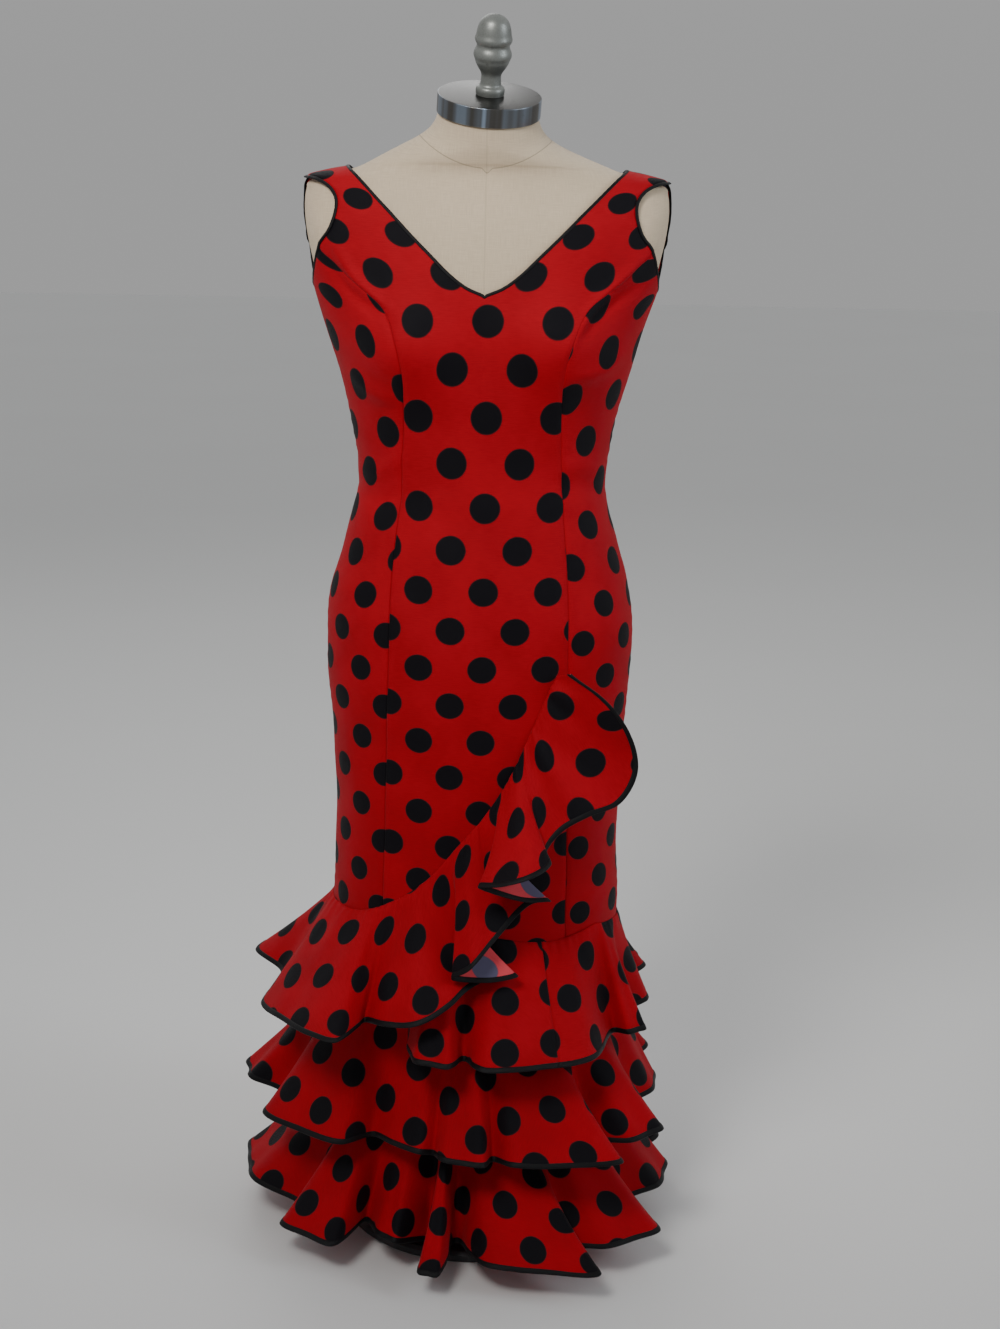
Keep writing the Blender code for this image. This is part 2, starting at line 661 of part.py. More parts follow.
def flounce_grid(columns):
    """Middle sheet of a flounce, seam row first, and the hem's own edge."""
    seam = on_body(columns[:, 0], columns[:, 1])
    away = outward(seam)
    seam = seam + away * (seam_gap + seam_lift + cloth / 2)
    hem = columns[:, 2:5]
    away[:, 2] = 0
    away /= np.linalg.norm(away, axis=1, keepdims=True)
    down = (hem - seam) * np.array([0, 0, 1])
    out = away * np.sum((hem - seam) * away, axis=1, keepdims=True)
    along = hem - seam - down - out
    grid = np.array([seam + down * share + out * share ** flare_out + along * share ** flare_along
                     for share in flounce_rows])
    down = grid[-1] - grid[-2]
    down /= np.linalg.norm(down, axis=1, keepdims=True)
    grid[-1] = hem - down * (hem_width + seam_gap)
    return grid, down


def grid_normals(grid, ring):
    """Normals of a sheet of points, outward where its columns run against the clock."""
    if ring:
        grid = np.concatenate([grid[:, -2:-1], grid, grid[:, 1:2]], axis=1)
    steps = np.diff(grid, axis=1)
    steps /= np.linalg.norm(steps, axis=2, keepdims=True)
    along = np.concatenate([steps[:, :1], steps[:, 1:] + steps[:, :-1], steps[:, -1:]], axis=1)
    normals = np.cross(np.gradient(grid, axis=0), along)
    normals /= np.linalg.norm(normals, axis=2, keepdims=True)
    return normals[:, 1:-1] if ring else normals


def flounce(number, columns, pieces):
    """The pieces of a flounce, each from one column to another, with the bindings of their hems."""
    grid, down = flounce_grid(columns)
    normals = grid_normals(grid, ring=number > 1)
    for name, first, last in pieces:
        piece = slice(first, last + 1)
        sheet = seam_eased(grid[:, piece])
        wall(f"flounce_{number}_{name}", sheet, normals[:, piece], cloth / 2, -cloth / 2, "cloth")
        strip(f"flounce_{number}_{name}_binding", sheet[-1], down[piece], normals[-1, piece],
              hem_width, binding_thickness, closed=False)


def seam_of_spiral(direction):
    return float(smooth_rows(spiral_seam, (direction - spiral_start) % 360 + spiral_start)[0])


def cut_at(columns, turn):
    """Nearest column to a turn of the seam."""
    return int(np.argmin(np.abs(columns[:, 0] - turn)))


def flounces():
    first = fold_keys(flounce_one_folds, first_hollow, seam_of_spiral)
    spiral = smooth_keys(first + cascade_keys())
    front_end = cut_at(spiral, round_turn(front_cut))
    side_end = cut_at(spiral, round_turn(left_cut))
    flounce(1, spiral, [("front", 0, front_end), ("back", front_end, side_end),
                        ("cascade", side_end, len(spiral) - 1)])
    for number, folds, level in ((2, flounce_two_folds, flounce_two_seam),
                                 (3, flounce_three_folds, flounce_three_seam)):
        start = (folds[-1][4] - 360, folds[-1][5])
        ring = smooth_keys(fold_keys(folds, start, lambda direction: level))
        middle = cut_at(ring, round_turn(right_cut))
        flounce(number, ring, [("front", 0, middle), ("back", middle, len(ring) - 1)])


def ramp(value, low, high):
    """0 under low, 1 over high, and straight between."""
    return np.clip((value - low) / (high - low), 0, 1)


def form_torso():
    """The form under the dress, from its flat bottom to the tilted top of its neck."""
    columns = form_columns
    turns = np.linspace(0, 2 * math.pi, columns, endpoint=False)
    rings = []
    for level in form_levels:
        ring = on_body(turns, np.full(columns, level))
        normals = outward(ring)
        slack = form_slack * (1 - ramp(level, 0.020, 0.140))
        slack += shoulder_slack * ramp(level, 0.290, 0.310)
        armpit = ramp(level, 0.190, 0.240) * (1 - ramp(level, 0.318, 0.330))
        beside = ramp(np.abs(np.cos(turns)), 0.86, 0.96)
        inset = form_inset + slack + arm_stump_inset * armpit * beside
        ring = ring - normals * inset[:, None]
        if level == form_bottom:
            ring[:, 2] = level      # the bottom is flat
        turning = ramp(level, *tilt_levels)
        steady = ramp(np.abs(ring[:, 0]), *lean_reach)
        ring[:, 2] += math.tan(neck_tilt) * turning * ring[:, 1]
        ring[:, 2] -= math.tan(neck_lean) * turning * (1 - steady) * ring[:, 0]
        rings.append(ring)
    middle_y, middle_level = neck_top
    low_y, low_level = neck_foot
    for share, half_width, half_depth in neck_rings:
        x = half_width * np.cos(turns)
        depth = half_depth * np.sin(turns)
        y = low_y + (middle_y - low_y) * share + depth * math.cos(neck_tilt)
        level = low_level + (middle_level - low_level) * share + depth * math.sin(neck_tilt)
        rings.append(np.stack([x, y, level - math.tan(neck_lean) * x], axis=-1))
    points = np.concatenate(rings)
    faces = [tuple(range(columns)), tuple(range(len(points) - columns, len(points)))]
    for ring in range(len(rings) - 1):
        for step in range(columns):
            after = (step + 1) % columns
            faces.append((ring * columns + step, ring * columns + after,
                          (ring + 1) * columns + after, (ring + 1) * columns + step))
    new_object("form_torso", points, faces, "canvas")


def neck_place(height):
    """Point over the neck's top, along the neck's own axis."""
    middle_y, middle_level = neck_top
    return (math.cos(neck_tilt) * math.sin(neck_lean) * height,
            middle_y - math.sin(neck_tilt) * height,
            waist_height + middle_level + math.cos(neck_tilt) * math.cos(neck_lean) * height)


def cap_and_finial():
    turned("form_neck_cap", [(0, 0), (cap_radius - cap_bevel, 0), (cap_radius, cap_bevel),
                             (cap_radius, cap_height - cap_bevel), (cap_radius - cap_bevel, cap_height),
                             (0, cap_height)],
           "steel", 40, neck_place(seam_gap), (neck_tilt, neck_lean, 0))
    turned("form_finial", finial_profile, "silver_paint", 20,
           neck_place(cap_height + 2 * seam_gap), (neck_tilt, neck_lean, 0))


def stand():
    under_form = waist_height + form_bottom - seam_gap
    pole_bottom = hub_height + seam_gap
    pole = [(0, pole_bottom), (pole_radius, pole_bottom)]
    pole += [(radius, under_form - drop) for radius, drop in flange_profile]
    turned("stand_pole", pole, "iron", 20)
    turned("stand_base", base_profile, "iron", 40)


def main():
    for item in list(bpy.data.objects):
        bpy.data.objects.remove(item, do_unlink=True)
    form_torso()
    cap_and_finial()
    stand()
    bodice()
    bindings_round_openings()
    flounces()


main()
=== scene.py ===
import math

import bmesh
import bpy
import numpy as np
from mathutils import Matrix, Vector


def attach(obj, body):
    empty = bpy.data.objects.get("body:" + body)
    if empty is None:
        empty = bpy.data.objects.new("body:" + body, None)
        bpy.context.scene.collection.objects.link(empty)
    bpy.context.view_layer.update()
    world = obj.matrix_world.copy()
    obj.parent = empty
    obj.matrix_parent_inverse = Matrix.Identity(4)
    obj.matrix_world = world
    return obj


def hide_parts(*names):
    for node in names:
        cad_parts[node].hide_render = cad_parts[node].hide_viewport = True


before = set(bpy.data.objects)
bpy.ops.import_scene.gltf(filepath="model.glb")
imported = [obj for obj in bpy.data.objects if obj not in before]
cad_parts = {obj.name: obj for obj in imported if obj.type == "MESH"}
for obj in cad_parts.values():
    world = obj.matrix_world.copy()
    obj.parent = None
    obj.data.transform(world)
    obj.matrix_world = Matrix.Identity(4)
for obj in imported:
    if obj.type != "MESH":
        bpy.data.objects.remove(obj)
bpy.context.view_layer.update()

# The dress, its form and its stand, at real size in metres: +Z up, front along -Y.
# Levels are heights over the waist, and "out" is the distance in front of the axis.


# Shader maths: an expression on these values adds its Math nodes
class Value:
    def __init__(self, finish, socket):
        self.finish = finish
        self.socket = socket

    def join(self, operation, other=None, turned=False):
        pair = [self.socket] if other is None else [self.socket, getattr(other, "socket", other)]
        if turned:
            pair.reverse()
        node = self.finish.node("ShaderNodeMath", {"operation": operation}, dict(enumerate(pair)))
        return Value(self.finish, node.outputs[0])

    def __add__(self, other):
        return self.join("ADD", other)

    def __radd__(self, other):
        return self.join("ADD", other, turned=True)

    def __sub__(self, other):
        return self.join("SUBTRACT", other)

    def __rsub__(self, other):
        return self.join("SUBTRACT", other, turned=True)

    def __mul__(self, other):
        return self.join("MULTIPLY", other)

    def __rmul__(self, other):
        return self.join("MULTIPLY", other, turned=True)

    def __truediv__(self, other):
        return self.join("DIVIDE", other)

    def __rtruediv__(self, other):
        return self.join("DIVIDE", other, turned=True)

    def __pow__(self, other):
        return self.join("POWER", other)

    def __neg__(self):
        return self.join("MULTIPLY", -1.0)

    def __abs__(self):
        return self.join("ABSOLUTE")

    def sine(self):
        return self.join("SINE")

    def rounded(self):
        return self.join("ROUND")

    def lower(self, other):
        return self.join("MINIMUM", other)

    def root(self):
        return self.join("SQRT")

    def between(self, low, high):       # 0 at low, 1 at high, smooth between
        node = self.finish.node("ShaderNodeMapRange", {"interpolation_type": "SMOOTHSTEP"},
                                {"Value": self.socket, "From Min": low, "From Max": high})
        return Value(self.finish, node.outputs["Result"])


# A procedural material: node() is the one way to add a node
class Finish:
    def __init__(self, name):
        self.material = bpy.data.materials.new(name)
        self.material.use_nodes = True
        self.tree = self.material.node_tree
        self.shader = self.tree.nodes["Principled BSDF"]

    def node(self, kind, settings=None, inputs=None):
        node = self.tree.nodes.new(kind)
        for name, setting in (settings or {}).items():
            if name == "stops":
                for place, colour in setting[:-2]:
                    node.color_ramp.elements.new(place).color = (*colour, 1)
                for element, (place, colour) in zip((node.color_ramp.elements[0],
                                                     node.color_ramp.elements[-1]), setting[-2:]):
                    element.position = place
                    element.color = (*colour, 1)
            else:
                setattr(node, name, setting)
        for name, value in (inputs or {}).items():
            self.feed(node.inputs[name], value)
        return node

    def feed(self, socket, value):
        value = getattr(value, "socket", value)
        if isinstance(value, bpy.types.NodeSocket):
            self.tree.links.new(value, socket)
        elif isinstance(value, tuple) and socket.type == "RGBA":
            socket.default_value = (*value, 1)
        else:
            socket.default_value = value

    def value(self, node, output=0):
        return Value(self, node.outputs[output])

    def place(self, kind):      # x, y and z of the UV map or of the object's own space
        where = self.node("ShaderNodeTexCoord").outputs[kind]
        split = self.node("ShaderNodeSeparateXYZ", None, {0: where})
        return where, [self.value(split, axis) for axis in range(3)]

    def vector(self, x, y, z=0.0):
        return self.node("ShaderNodeCombineXYZ", None, {0: x, 1: y, 2: z}).outputs[0]

    def noise(self, where, scale, detail=2.0, rough=0.5):
        return self.value(self.node("ShaderNodeTexNoise", None, {
            "Vector": where, "Scale": scale, "Detail": detail, "Roughness": rough}))

    def mix(self, share, first, second):
        node = self.node("ShaderNodeMix", {"data_type": "RGBA"}, {0: share})
        self.feed(node.inputs[6], first)
        self.feed(node.inputs[7], second)
        return node.outputs[2]

    def bump(self, height, distance, strength=1.0, under=None):
        inputs = {"Height": height, "Distance": distance, "Strength": strength}
        if under is not None:
            inputs["Normal"] = under
        return self.node("ShaderNodeBump", None, inputs).outputs["Normal"]

    def finish(self, **sockets):
        for name, value in sockets.items():
            self.feed(self.shader.inputs[name.replace("_", " ")], value)
        return self.material


# Dotted cotton: staggered rows of dots printed on the cut, which the UV map holds in metres
dots = {
    "radius": 0.0156, "across": 0.0715, "down": 0.0915,
    "rim": 0.0011, "edge": 0.00035, "unevenness": 0.0006,
    "thread": 0.0009,
}
rightSide = {
    "red": (0.42, 0.0012, 0.0100), "deepRed": (0.31, 0.0008, 0.0070),
    "dot": (0.0034, 0.0026, 0.0046), "rim": (0.075, 0.006, 0.008), "roughness": 0.66,
}
wrongSide = {
    "red": (0.72, 0.075, 0.095), "deepRed": (0.60, 0.055, 0.070),
    "dot": (0.105, 0.098, 0.165), "rim": (0.32, 0.070, 0.100), "roughness": 0.72,
}


def dottedCotton(name, side):
    fabric = Finish(name)
    where, (u, v, _) = fabric.place("UV")
    wander = fabric.noise(where, 140.0, 1.0) - 0.5
    nearest = None
    for offset in (0.0, 0.5):       # the two sets of rows that make the stagger
        across = u / dots["across"] + offset
        down = v / dots["down"] + offset
        across = (across - across.rounded()) * dots["across"]
        down = (down - down.rounded()) * dots["down"]
        reach = (across * across + down * down).root()
        nearest = reach if nearest is None else nearest.lower(reach)
    nearest = nearest + wander * dots["unevenness"]
    inDot = 1.0 - nearest.between(dots["radius"] - dots["edge"], dots["radius"] + dots["edge"])
    inRim = 1.0 - nearest.between(dots["radius"] + dots["rim"] * 0.4, dots["radius"] + dots["rim"])
    warp = (u * (2 * math.pi / dots["thread"])).sine()
    weft = (v * (2 * math.pi / dots["thread"])).sine()
    broad = fabric.noise(where, 13.0, 3.0)
    slub = fabric.noise(fabric.vector(u * 90.0, v * 900.0), 1.0, 2.0)
    ground = fabric.mix((broad * 0.7 + slub * 0.5).between(0.35, 0.95), side["red"], side["deepRed"])
    colour = fabric.mix(inRim, ground, side["rim"])
    colour = fabric.mix(inDot, colour, side["dot"])
    handle = fabric.noise(where, 55.0, 3.0)
    normal = fabric.bump(handle, 0.0012, 0.35)
    normal = fabric.bump(warp * weft, 0.00012, 0.5, normal)
    return fabric.finish(Base_Color=colour, Roughness=side["roughness"] + handle * 0.12 - inDot * 0.08,
                        Normal=normal, Sheen_Weight=0.02, Sheen_Roughness=0.45,
                        Specular_IOR_Level=0.12)


def blackTape(name):
    bias = Finish(name)
    where, (u, v, _) = bias.place("UV")
    twill = ((u + v) * (2 * math.pi / 0.0011)).sine()
    stitch = (u * (2 * math.pi / 0.0030)).sine().between(-0.2, 0.4)
    inRow = 1.0 - (abs(v - 0.0012)).between(0.0002, 0.0006)
    colour = bias.mix(bias.noise(where, 220.0, 2.0), (0.0022, 0.0020, 0.0026), (0.0050, 0.0047, 0.0060))
    colour = bias.mix(stitch * inRow * 0.5, colour, (0.014, 0.013, 0.017))
    normal = bias.bump(twill * 0.4 - inRow * 0.8 + stitch * inRow, 0.0002, 0.6)
    return bias.finish(Base_Color=colour, Roughness=0.46 + bias.noise(where, 90.0) * 0.12, Normal=normal,
                       Sheen_Weight=0.02, Sheen_Roughness=0.4, Specular_IOR_Level=0.18)


def linenCanvas(name, neckSeam):
    linen = Finish(name)
    where, (x, y, z) = linen.place("Object")
    _, (u, v, _) = linen.place("UV")
    thread = 2 * math.pi / 0.0013
    warp = (u * thread + linen.noise(where, 60.0) * 2.0).sine()
    weft = (v * thread + linen.noise(where, 70.0) * 2.0).sine()
    slub = linen.noise(linen.vector(u * 1400.0, v * 60.0), 1.0, 2.0)
    slubDown = linen.noise(linen.vector(u * 60.0, v * 1400.0), 1.0, 2.0)
    broad = linen.noise(where, 7.0, 4.0)
    threads = (slub * 0.5 + slubDown * 0.5).between(0.30, 0.72)
    colour = linen.mix(threads, (0.62, 0.480, 0.330), (0.74, 0.600, 0.430))
    colour = linen.mix(broad.between(0.45, 0.80) * 0.35, colour, (0.50, 0.40, 0.28))
    behind = y.between(-0.02, 0.05)
    height = neckSeam["front"] + x * x * neckSeam["rise"] * (1.0 - behind) + behind * neckSeam["back"]
    height = height - (1.0 - abs(x).between(0.0, neckSeam["pointWidth"])) * neckSeam["point"]
    inNeck = 1.0 - abs(z - height).between(0.0002, 0.0009)
    inFront = 1.0 - abs(x + 0.0006).between(0.0002, 0.0009)
    colour = linen.mix(inNeck * 0.60 + inFront * 0.20, colour, (0.30, 0.23, 0.15))
    normal = linen.bump(-(inNeck + inFront * 0.5), 0.0005, 0.7)
    normal = linen.bump(warp * weft + slub * 0.5, 0.00022, 0.7, normal)
    return linen.finish(Base_Color=colour, Roughness=0.80 + slub * 0.10, Normal=normal,
                        Sheen_Weight=0.15, Sheen_Roughness=0.5)


def brushedSteel(name, centre, turn):
    steel = Finish(name)
    where, _ = steel.place("Object")
    local = steel.node("ShaderNodeMapping", {"vector_type": "TEXTURE"}, {
        "Vector": where, "Location": tuple(centre), "Rotation": tuple(turn)}).outputs[0]
    split = steel.node("ShaderNodeSeparateXYZ", None, {0: local})
    x, y, z = (steel.value(split, axis) for axis in range(3))
    reach = (x * x + y * y).root()
    angle = y.join("ARCTAN2", x)
    fine = steel.noise(steel.vector(reach * 2600.0, z * 2600.0, angle * 0.8), 1.0, 3.0, 0.6)
    lines = steel.noise(steel.vector(angle * 21.0, 3.0), 1.0, 3.0, 0.6)
    # painted reflection: broad bright bands round the cap's side and one narrow glint, bluish like a window
    # mirrored in the metal
    reflectionBands = steel.noise(steel.vector(angle * 3.1, 7.0), 1.0, 2.0).between(0.42, 0.64)
    paintedGlint = 1.0 - abs(angle + 1.64).between(0.01, 0.06)
    onSide = reach.between(0.0540, 0.0553)
    marks = steel.noise(local, 34.0, 5.0, 0.65).between(0.58, 0.78)
    colour = steel.mix(fine * 0.6 + lines * 0.4, (0.095, 0.090, 0.083), (0.175, 0.168, 0.158))
    colour = steel.mix((reflectionBands * 0.55 + paintedGlint * 0.8) * onSide, colour, (0.42, 0.52, 0.66))
    colour = steel.mix(marks * 0.35, colour, (0.10, 0.094, 0.088))
    # painted shade: the cap's top, away from its side, is painted nearly black in place of the dark
    # surroundings it mirrors
    colour = steel.mix((1.0 - onSide) * 0.92, colour, (0.032, 0.030, 0.026))
    normal = steel.bump(fine + lines * 0.4, 0.00010, 0.5)
    return steel.finish(Base_Color=colour, Metallic=1.0, Roughness=0.25 + fine * 0.10 + marks * 0.10,
                        Normal=normal, Anisotropic=0.5)


def silverPaint(name):
    paint = Finish(name)
    where, _ = paint.place("Object")
    specks = paint.noise(where, 900.0, 2.0)
    wear = paint.noise(where, 75.0, 5.0, 0.7).between(0.52, 0.72)
    colour = paint.mix(specks, (0.175, 0.185, 0.175), (0.300, 0.310, 0.290))
    colour = paint.mix(wear * 0.45, colour, (0.105, 0.105, 0.098))
    normal = paint.bump(specks * 0.3 + wear * 0.5, 0.00025, 0.5)
    return paint.finish(Base_Color=colour, Metallic=0.60, Roughness=0.42 + wear * 0.16, Normal=normal)


def blackIron(name):
    iron = Finish(name)
    where, _ = iron.place("Object")
    grain = iron.noise(where, 420.0, 3.0)
    dust = iron.noise(where, 16.0, 4.0).between(0.45, 0.75)
    colour = iron.mix(grain, (0.022, 0.022, 0.024), (0.040, 0.040, 0.043))
    colour = iron.mix(dust * 0.25, colour, (0.085, 0.08, 0.075))
    return iron.finish(Base_Color=colour, Metallic=0.35, Roughness=0.48 + dust * 0.16,
                       Normal=iron.bump(grain, 0.0003, 0.5))


def paleFloor(name):
    floor = Finish(name)
    where, _ = floor.place("Object")
    cloud = floor.noise(where, 1.3, 3.0)
    colour = floor.mix(cloud, (0.78, 0.78, 0.77), (0.82, 0.82, 0.81))
    return floor.finish(Base_Color=colour, Roughness=0.75 + cloud * 0.1)


# The outside of the dress where it lies on the body
body = {
    "waistHeight": 0.885,
    # level, half width, front depth, back depth, middle of the depth, squareness
    "sections": np.array([
        (-0.740, 0.152, 0.123, 0.124, 0.000, 2.10),
        (-0.600, 0.159, 0.123, 0.126, 0.000, 2.10),
        (-0.500, 0.165, 0.122, 0.126, 0.000, 2.15),
        (-0.400, 0.162, 0.118, 0.122, 0.000, 2.20),
        (-0.300, 0.164, 0.117, 0.124, 0.000, 2.20),
        (-0.200, 0.171, 0.118, 0.132, 0.000, 2.25),
        (-0.140, 0.171, 0.117, 0.128, 0.000, 2.25),
        (-0.070, 0.153, 0.111, 0.108, 0.000, 2.20),
        (0.000, 0.137, 0.103, 0.090, 0.000, 2.15),
        (0.060, 0.144, 0.105, 0.092, 0.000, 2.15),
        (0.110, 0.156, 0.108, 0.102, 0.000, 2.20),
        (0.160, 0.171, 0.110, 0.110, 0.001, 2.25),
        (0.210, 0.187, 0.107, 0.112, 0.003, 2.30),
        (0.250, 0.199, 0.101, 0.110, 0.005, 2.30),
        (0.280, 0.204, 0.093, 0.102, 0.007, 2.20),
        (0.305, 0.205, 0.081, 0.088, 0.009, 2.00),
        (0.318, 0.202, 0.072, 0.076, 0.010, 1.90),
        (0.326, 0.194, 0.066, 0.068, 0.010, 1.85),
        (0.332, 0.173, 0.064, 0.062, 0.010, 1.85),
        (0.337, 0.1495, 0.063, 0.058, 0.009, 1.90),
        (0.3425, 0.134, 0.063, 0.055, 0.007, 1.95),
        (0.350, 0.118, 0.062, 0.053, 0.004, 2.00),
        (0.358, 0.1005, 0.060, 0.053, 0.001, 2.00),
        (0.366, 0.081, 0.059, 0.054, -0.002, 2.00),
        (0.374, 0.064, 0.059, 0.055, -0.003, 2.00),
    ]),
    "bust": {"across": 0.088, "level": 0.155, "fullness": 0.024, "spread": 0.052, "fade": 0.030},
}


def smoothRows(table, at):
    table = np.asarray(table, float)
    keys, values = table[:, 0], table[:, 1:]
    at = np.clip(np.asarray(at, float), keys[0], keys[-1])
    slopes = np.gradient(values, keys, axis=0)
    low = np.clip(np.searchsorted(keys, at) - 1, 0, len(keys) - 2)
    span = (keys[low + 1] - keys[low])[..., None]
    part = (at[..., None] - keys[low][..., None]) / span
    first = values[low] * (1 + 2 * part) * (1 - part) ** 2
    second = values[low + 1] * (3 - 2 * part) * part ** 2
    leave = slopes[low] * span * part * (1 - part) ** 2
    arrive = slopes[low + 1] * span * part ** 2 * (1 - part)
    return first + second + leave - arrive


def smoothStep(value, low, high):
    share = np.clip((value - low) / (high - low), 0, 1)
    return share * share * (3 - 2 * share)


def bustOut(across, level, depth):
    bust = body["bust"]
    side = (np.abs(across) - bust["across"]) / bust["spread"]
    height = (level - bust["level"]) / bust["spread"]
    return bust["fullness"] * np.exp(-side ** 2 - height ** 2) * smoothStep(-depth, 0, bust["fade"])


def bodyValue(points):      # 1 on the dress's outside, less inside it
    half, front, back, middle, square = np.moveaxis(smoothRows(body["sections"], points[..., 2]), -1, 0)
    depth = points[..., 1] - middle
    depth = depth + bustOut(points[..., 0], points[..., 2], depth)
    reach = np.where(depth < 0, front, back)
    value = (np.abs(points[..., 0]) / half) ** square + (np.abs(depth) / reach) ** square
    return value ** (1 / square)


def outward(points):
    step = np.eye(3) * 0.0008
    slope = np.stack([bodyValue(points + axis) - bodyValue(points - axis) for axis in step], axis=-1)
    return slope / np.linalg.norm(slope, axis=-1, keepdims=True)


def onBody(turn, level):
    turn, level = np.broadcast_arrays(np.asarray(turn, float), np.asarray(level, float))
    half, front, back, middle, square = np.moveaxis(smoothRows(body["sections"], level), -1, 0)
    across, depth = np.cos(turn), np.sin(turn)
    x = half * np.sign(across) * np.abs(across) ** (2 / square)
    y = np.where(depth < 0, front, back) * np.sign(depth) * np.abs(depth) ** (2 / square)
    return np.stack([x, middle + y - bustOut(x, level, y), level], axis=-1)


def turnAt(across, level, side):    # turn of a point by its distance from the middle
    half, _, _, _, square = smoothRows(body["sections"], level)
    share = min(abs(across) / half, 1.0) ** (square / 2)
    turn = math.acos(share) if across >= 0 else math.pi - math.acos(share)
    return side * turn


def ridgeLevel(across):
    levels = np.linspace(0.322, 0.360, 400)
    half = smoothRows(body["sections"], levels)[:, 0]
    return float(levels[np.argmin(np.abs(half - across))])


# Meshes: a grid from bmesh, each point moved to its place, with its UV map in metres
weldDistance = 0.00002


def gridSheet(shape, points, flat, turnedOver):
    rows, columns = points.shape[:2]
    made = bmesh.ops.create_grid(shape, x_segments=columns - 1, y_segments=rows - 1, size=0.5)
    for vertex, place in zip(made["verts"], points.reshape(-1, 3)):
        vertex.co = (place[0], place[1], place[2] + body["waistHeight"])
    faces = {face for vertex in made["verts"] for face in vertex.link_faces}
    faces = sorted(faces, key=lambda face: min(corner.index for corner in face.verts))
    flatOf = dict(zip(made["verts"], flat.reshape(-1, 2)))
    layer = shape.loops.layers.uv.verify()
    for face in faces:
        face.smooth = True
        for corner in face.loops:
            corner[layer].uv = flatOf[corner.vert]
    if turnedOver:
        bmesh.ops.reverse_faces(shape, faces=faces)


def newPiece(name, shape, materials, node):
    mesh = bpy.data.meshes.new(name)
    shape.to_mesh(mesh)
    shape.free()
    for material in materials:
        mesh.materials.append(material)
    piece = bpy.data.objects.new(name, mesh)
    bpy.context.scene.collection.objects.link(piece)
    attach(piece, "root")
    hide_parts(node)
    return piece


def clothPiece(name, sheets, offset):
    shape = bmesh.new()
    for points, flat, turnedOver in sheets:
        gridSheet(shape, points, flat, turnedOver)
    bmesh.ops.remove_doubles(shape, verts=shape.verts, dist=weldDistance)
    piece = newPiece(name + "_cloth", shape, [cotton, cottonInside], name)
    wall = piece.modifiers.new("wall", "SOLIDIFY")
    wall.thickness = cloth["thickness"]
    wall.offset = offset
    wall.material_offset = 1
    wall.material_offset_rim = 0
    return piece


cloth = {
    "thickness": 0.0008, "rowStep": 0.0070,
    "seamDepth": 0.0011, "seamWidth": 0.0030,
    "foldStrength": 1.35, "puckerHeight": 0.00075, "puckerLength": 0.0135, "puckerReach": 0.012,
}
# Soft folds on the bodice: from (across, level) to (across, level), half width, height; front side
bodiceFolds = [
    (0.157, 0.240, 0.090, 0.160, 0.0066, 0.0042),
    (0.168, 0.222, 0.100, 0.168, 0.0060, -0.0024),
    (-0.160, 0.258, -0.100, 0.196, 0.0062, 0.0036),
    (-0.166, 0.236, -0.112, 0.190, 0.0058, -0.0019),
    (0.090, 0.126, 0.148, 0.146, 0.0070, 0.0024),
    (-0.142, 0.122, -0.090, 0.098, 0.0075, 0.0023),
    (-0.136, 0.010, -0.086, 0.036, 0.0080, 0.0024),
    (-0.136, -0.012, -0.080, -0.004, 0.0085, -0.0015),
    (0.132, 0.012, 0.084, 0.026, 0.0080, 0.0020),
    (0.134, -0.020, 0.070, -0.016, 0.0095, 0.0014),
    (-0.160, -0.120, -0.100, -0.086, 0.0110, 0.0011),
    (0.165, -0.105, 0.104, -0.080, 0.0110, 0.0010),
    (-0.058, -0.005, 0.030, -0.012, 0.0120, 0.0007),
    (0.020, -0.440, 0.090, -0.330, 0.0120, 0.0012),
]
backFolds = [
    (-0.110, 0.012, 0.110, 0.006, 0.0090, 0.0013),
    (-0.096, -0.018, 0.090, -0.022, 0.0100, 0.0011),
    (0.150, 0.190, 0.070, 0.150, 0.0100, 0.0012),
    (-0.150, 0.190, -0.074, 0.146, 0.0100, 0.0012),
    (-0.120, -0.190, -0.030, -0.215, 0.0130, 0.0010),
    (0.124, -0.196, 0.034, -0.212, 0.0130, 0.0010),
]
bodyRipples = [     # wave length across and down, turn, height
    (0.083, 0.310, 0.4, 0.00045), (0.210, 0.097, 1.9, 0.00050), (0.057, 0.180, 3.1, 0.00025),
]


def bodyRelief(points):     # how far the cloth stands off its smooth form
    x, y, level = np.moveaxis(points, -1, 0)
    lift = np.zeros_like(x)
    for folds, there in ((bodiceFolds, y < 0), (backFolds, y > 0)):
        for x0, z0, x1, z1, width, height in folds:
            runX, runZ = x1 - x0, z1 - z0
            length = math.hypot(runX, runZ)
            share = ((x - x0) * runX + (level - z0) * runZ) / length ** 2
            bow = 0.006 * np.sin(np.pi * np.clip(share, 0, 1))
            away = ((x - x0) * runZ - (level - z0) * runX) / length - bow
            ends = smoothStep(share, -0.25, 0.30) * smoothStep(1 - share, -0.25, 0.30)
            lift += there * cloth["foldStrength"] * height * ends * np.exp(-(away / width) ** 2)
    for across, down, turn, height in bodyRipples:
        lift += height * np.sin(2 * math.pi * (x / across + level / down) + turn + 3 * y)
    return lift * smoothStep(0.33 - level, 0, 0.03)


def seamRelief(gap, run):   # cloth rolls in at a seam and puckers beside it
    roll = -cloth["seamDepth"] * np.exp(-(gap / cloth["seamWidth"]) ** 2)
    wave = np.sin(2 * math.pi * run / cloth["puckerLength"] + 2.2 * np.sin(run / 0.031))
    wave = wave * (0.55 + 0.45 * np.sin(run / 0.047))
    fade = np.exp(-gap / cloth["puckerReach"]) * (1 - np.exp(-(gap / 0.003) ** 2))
    return roll + cloth["puckerHeight"] * wave * fade


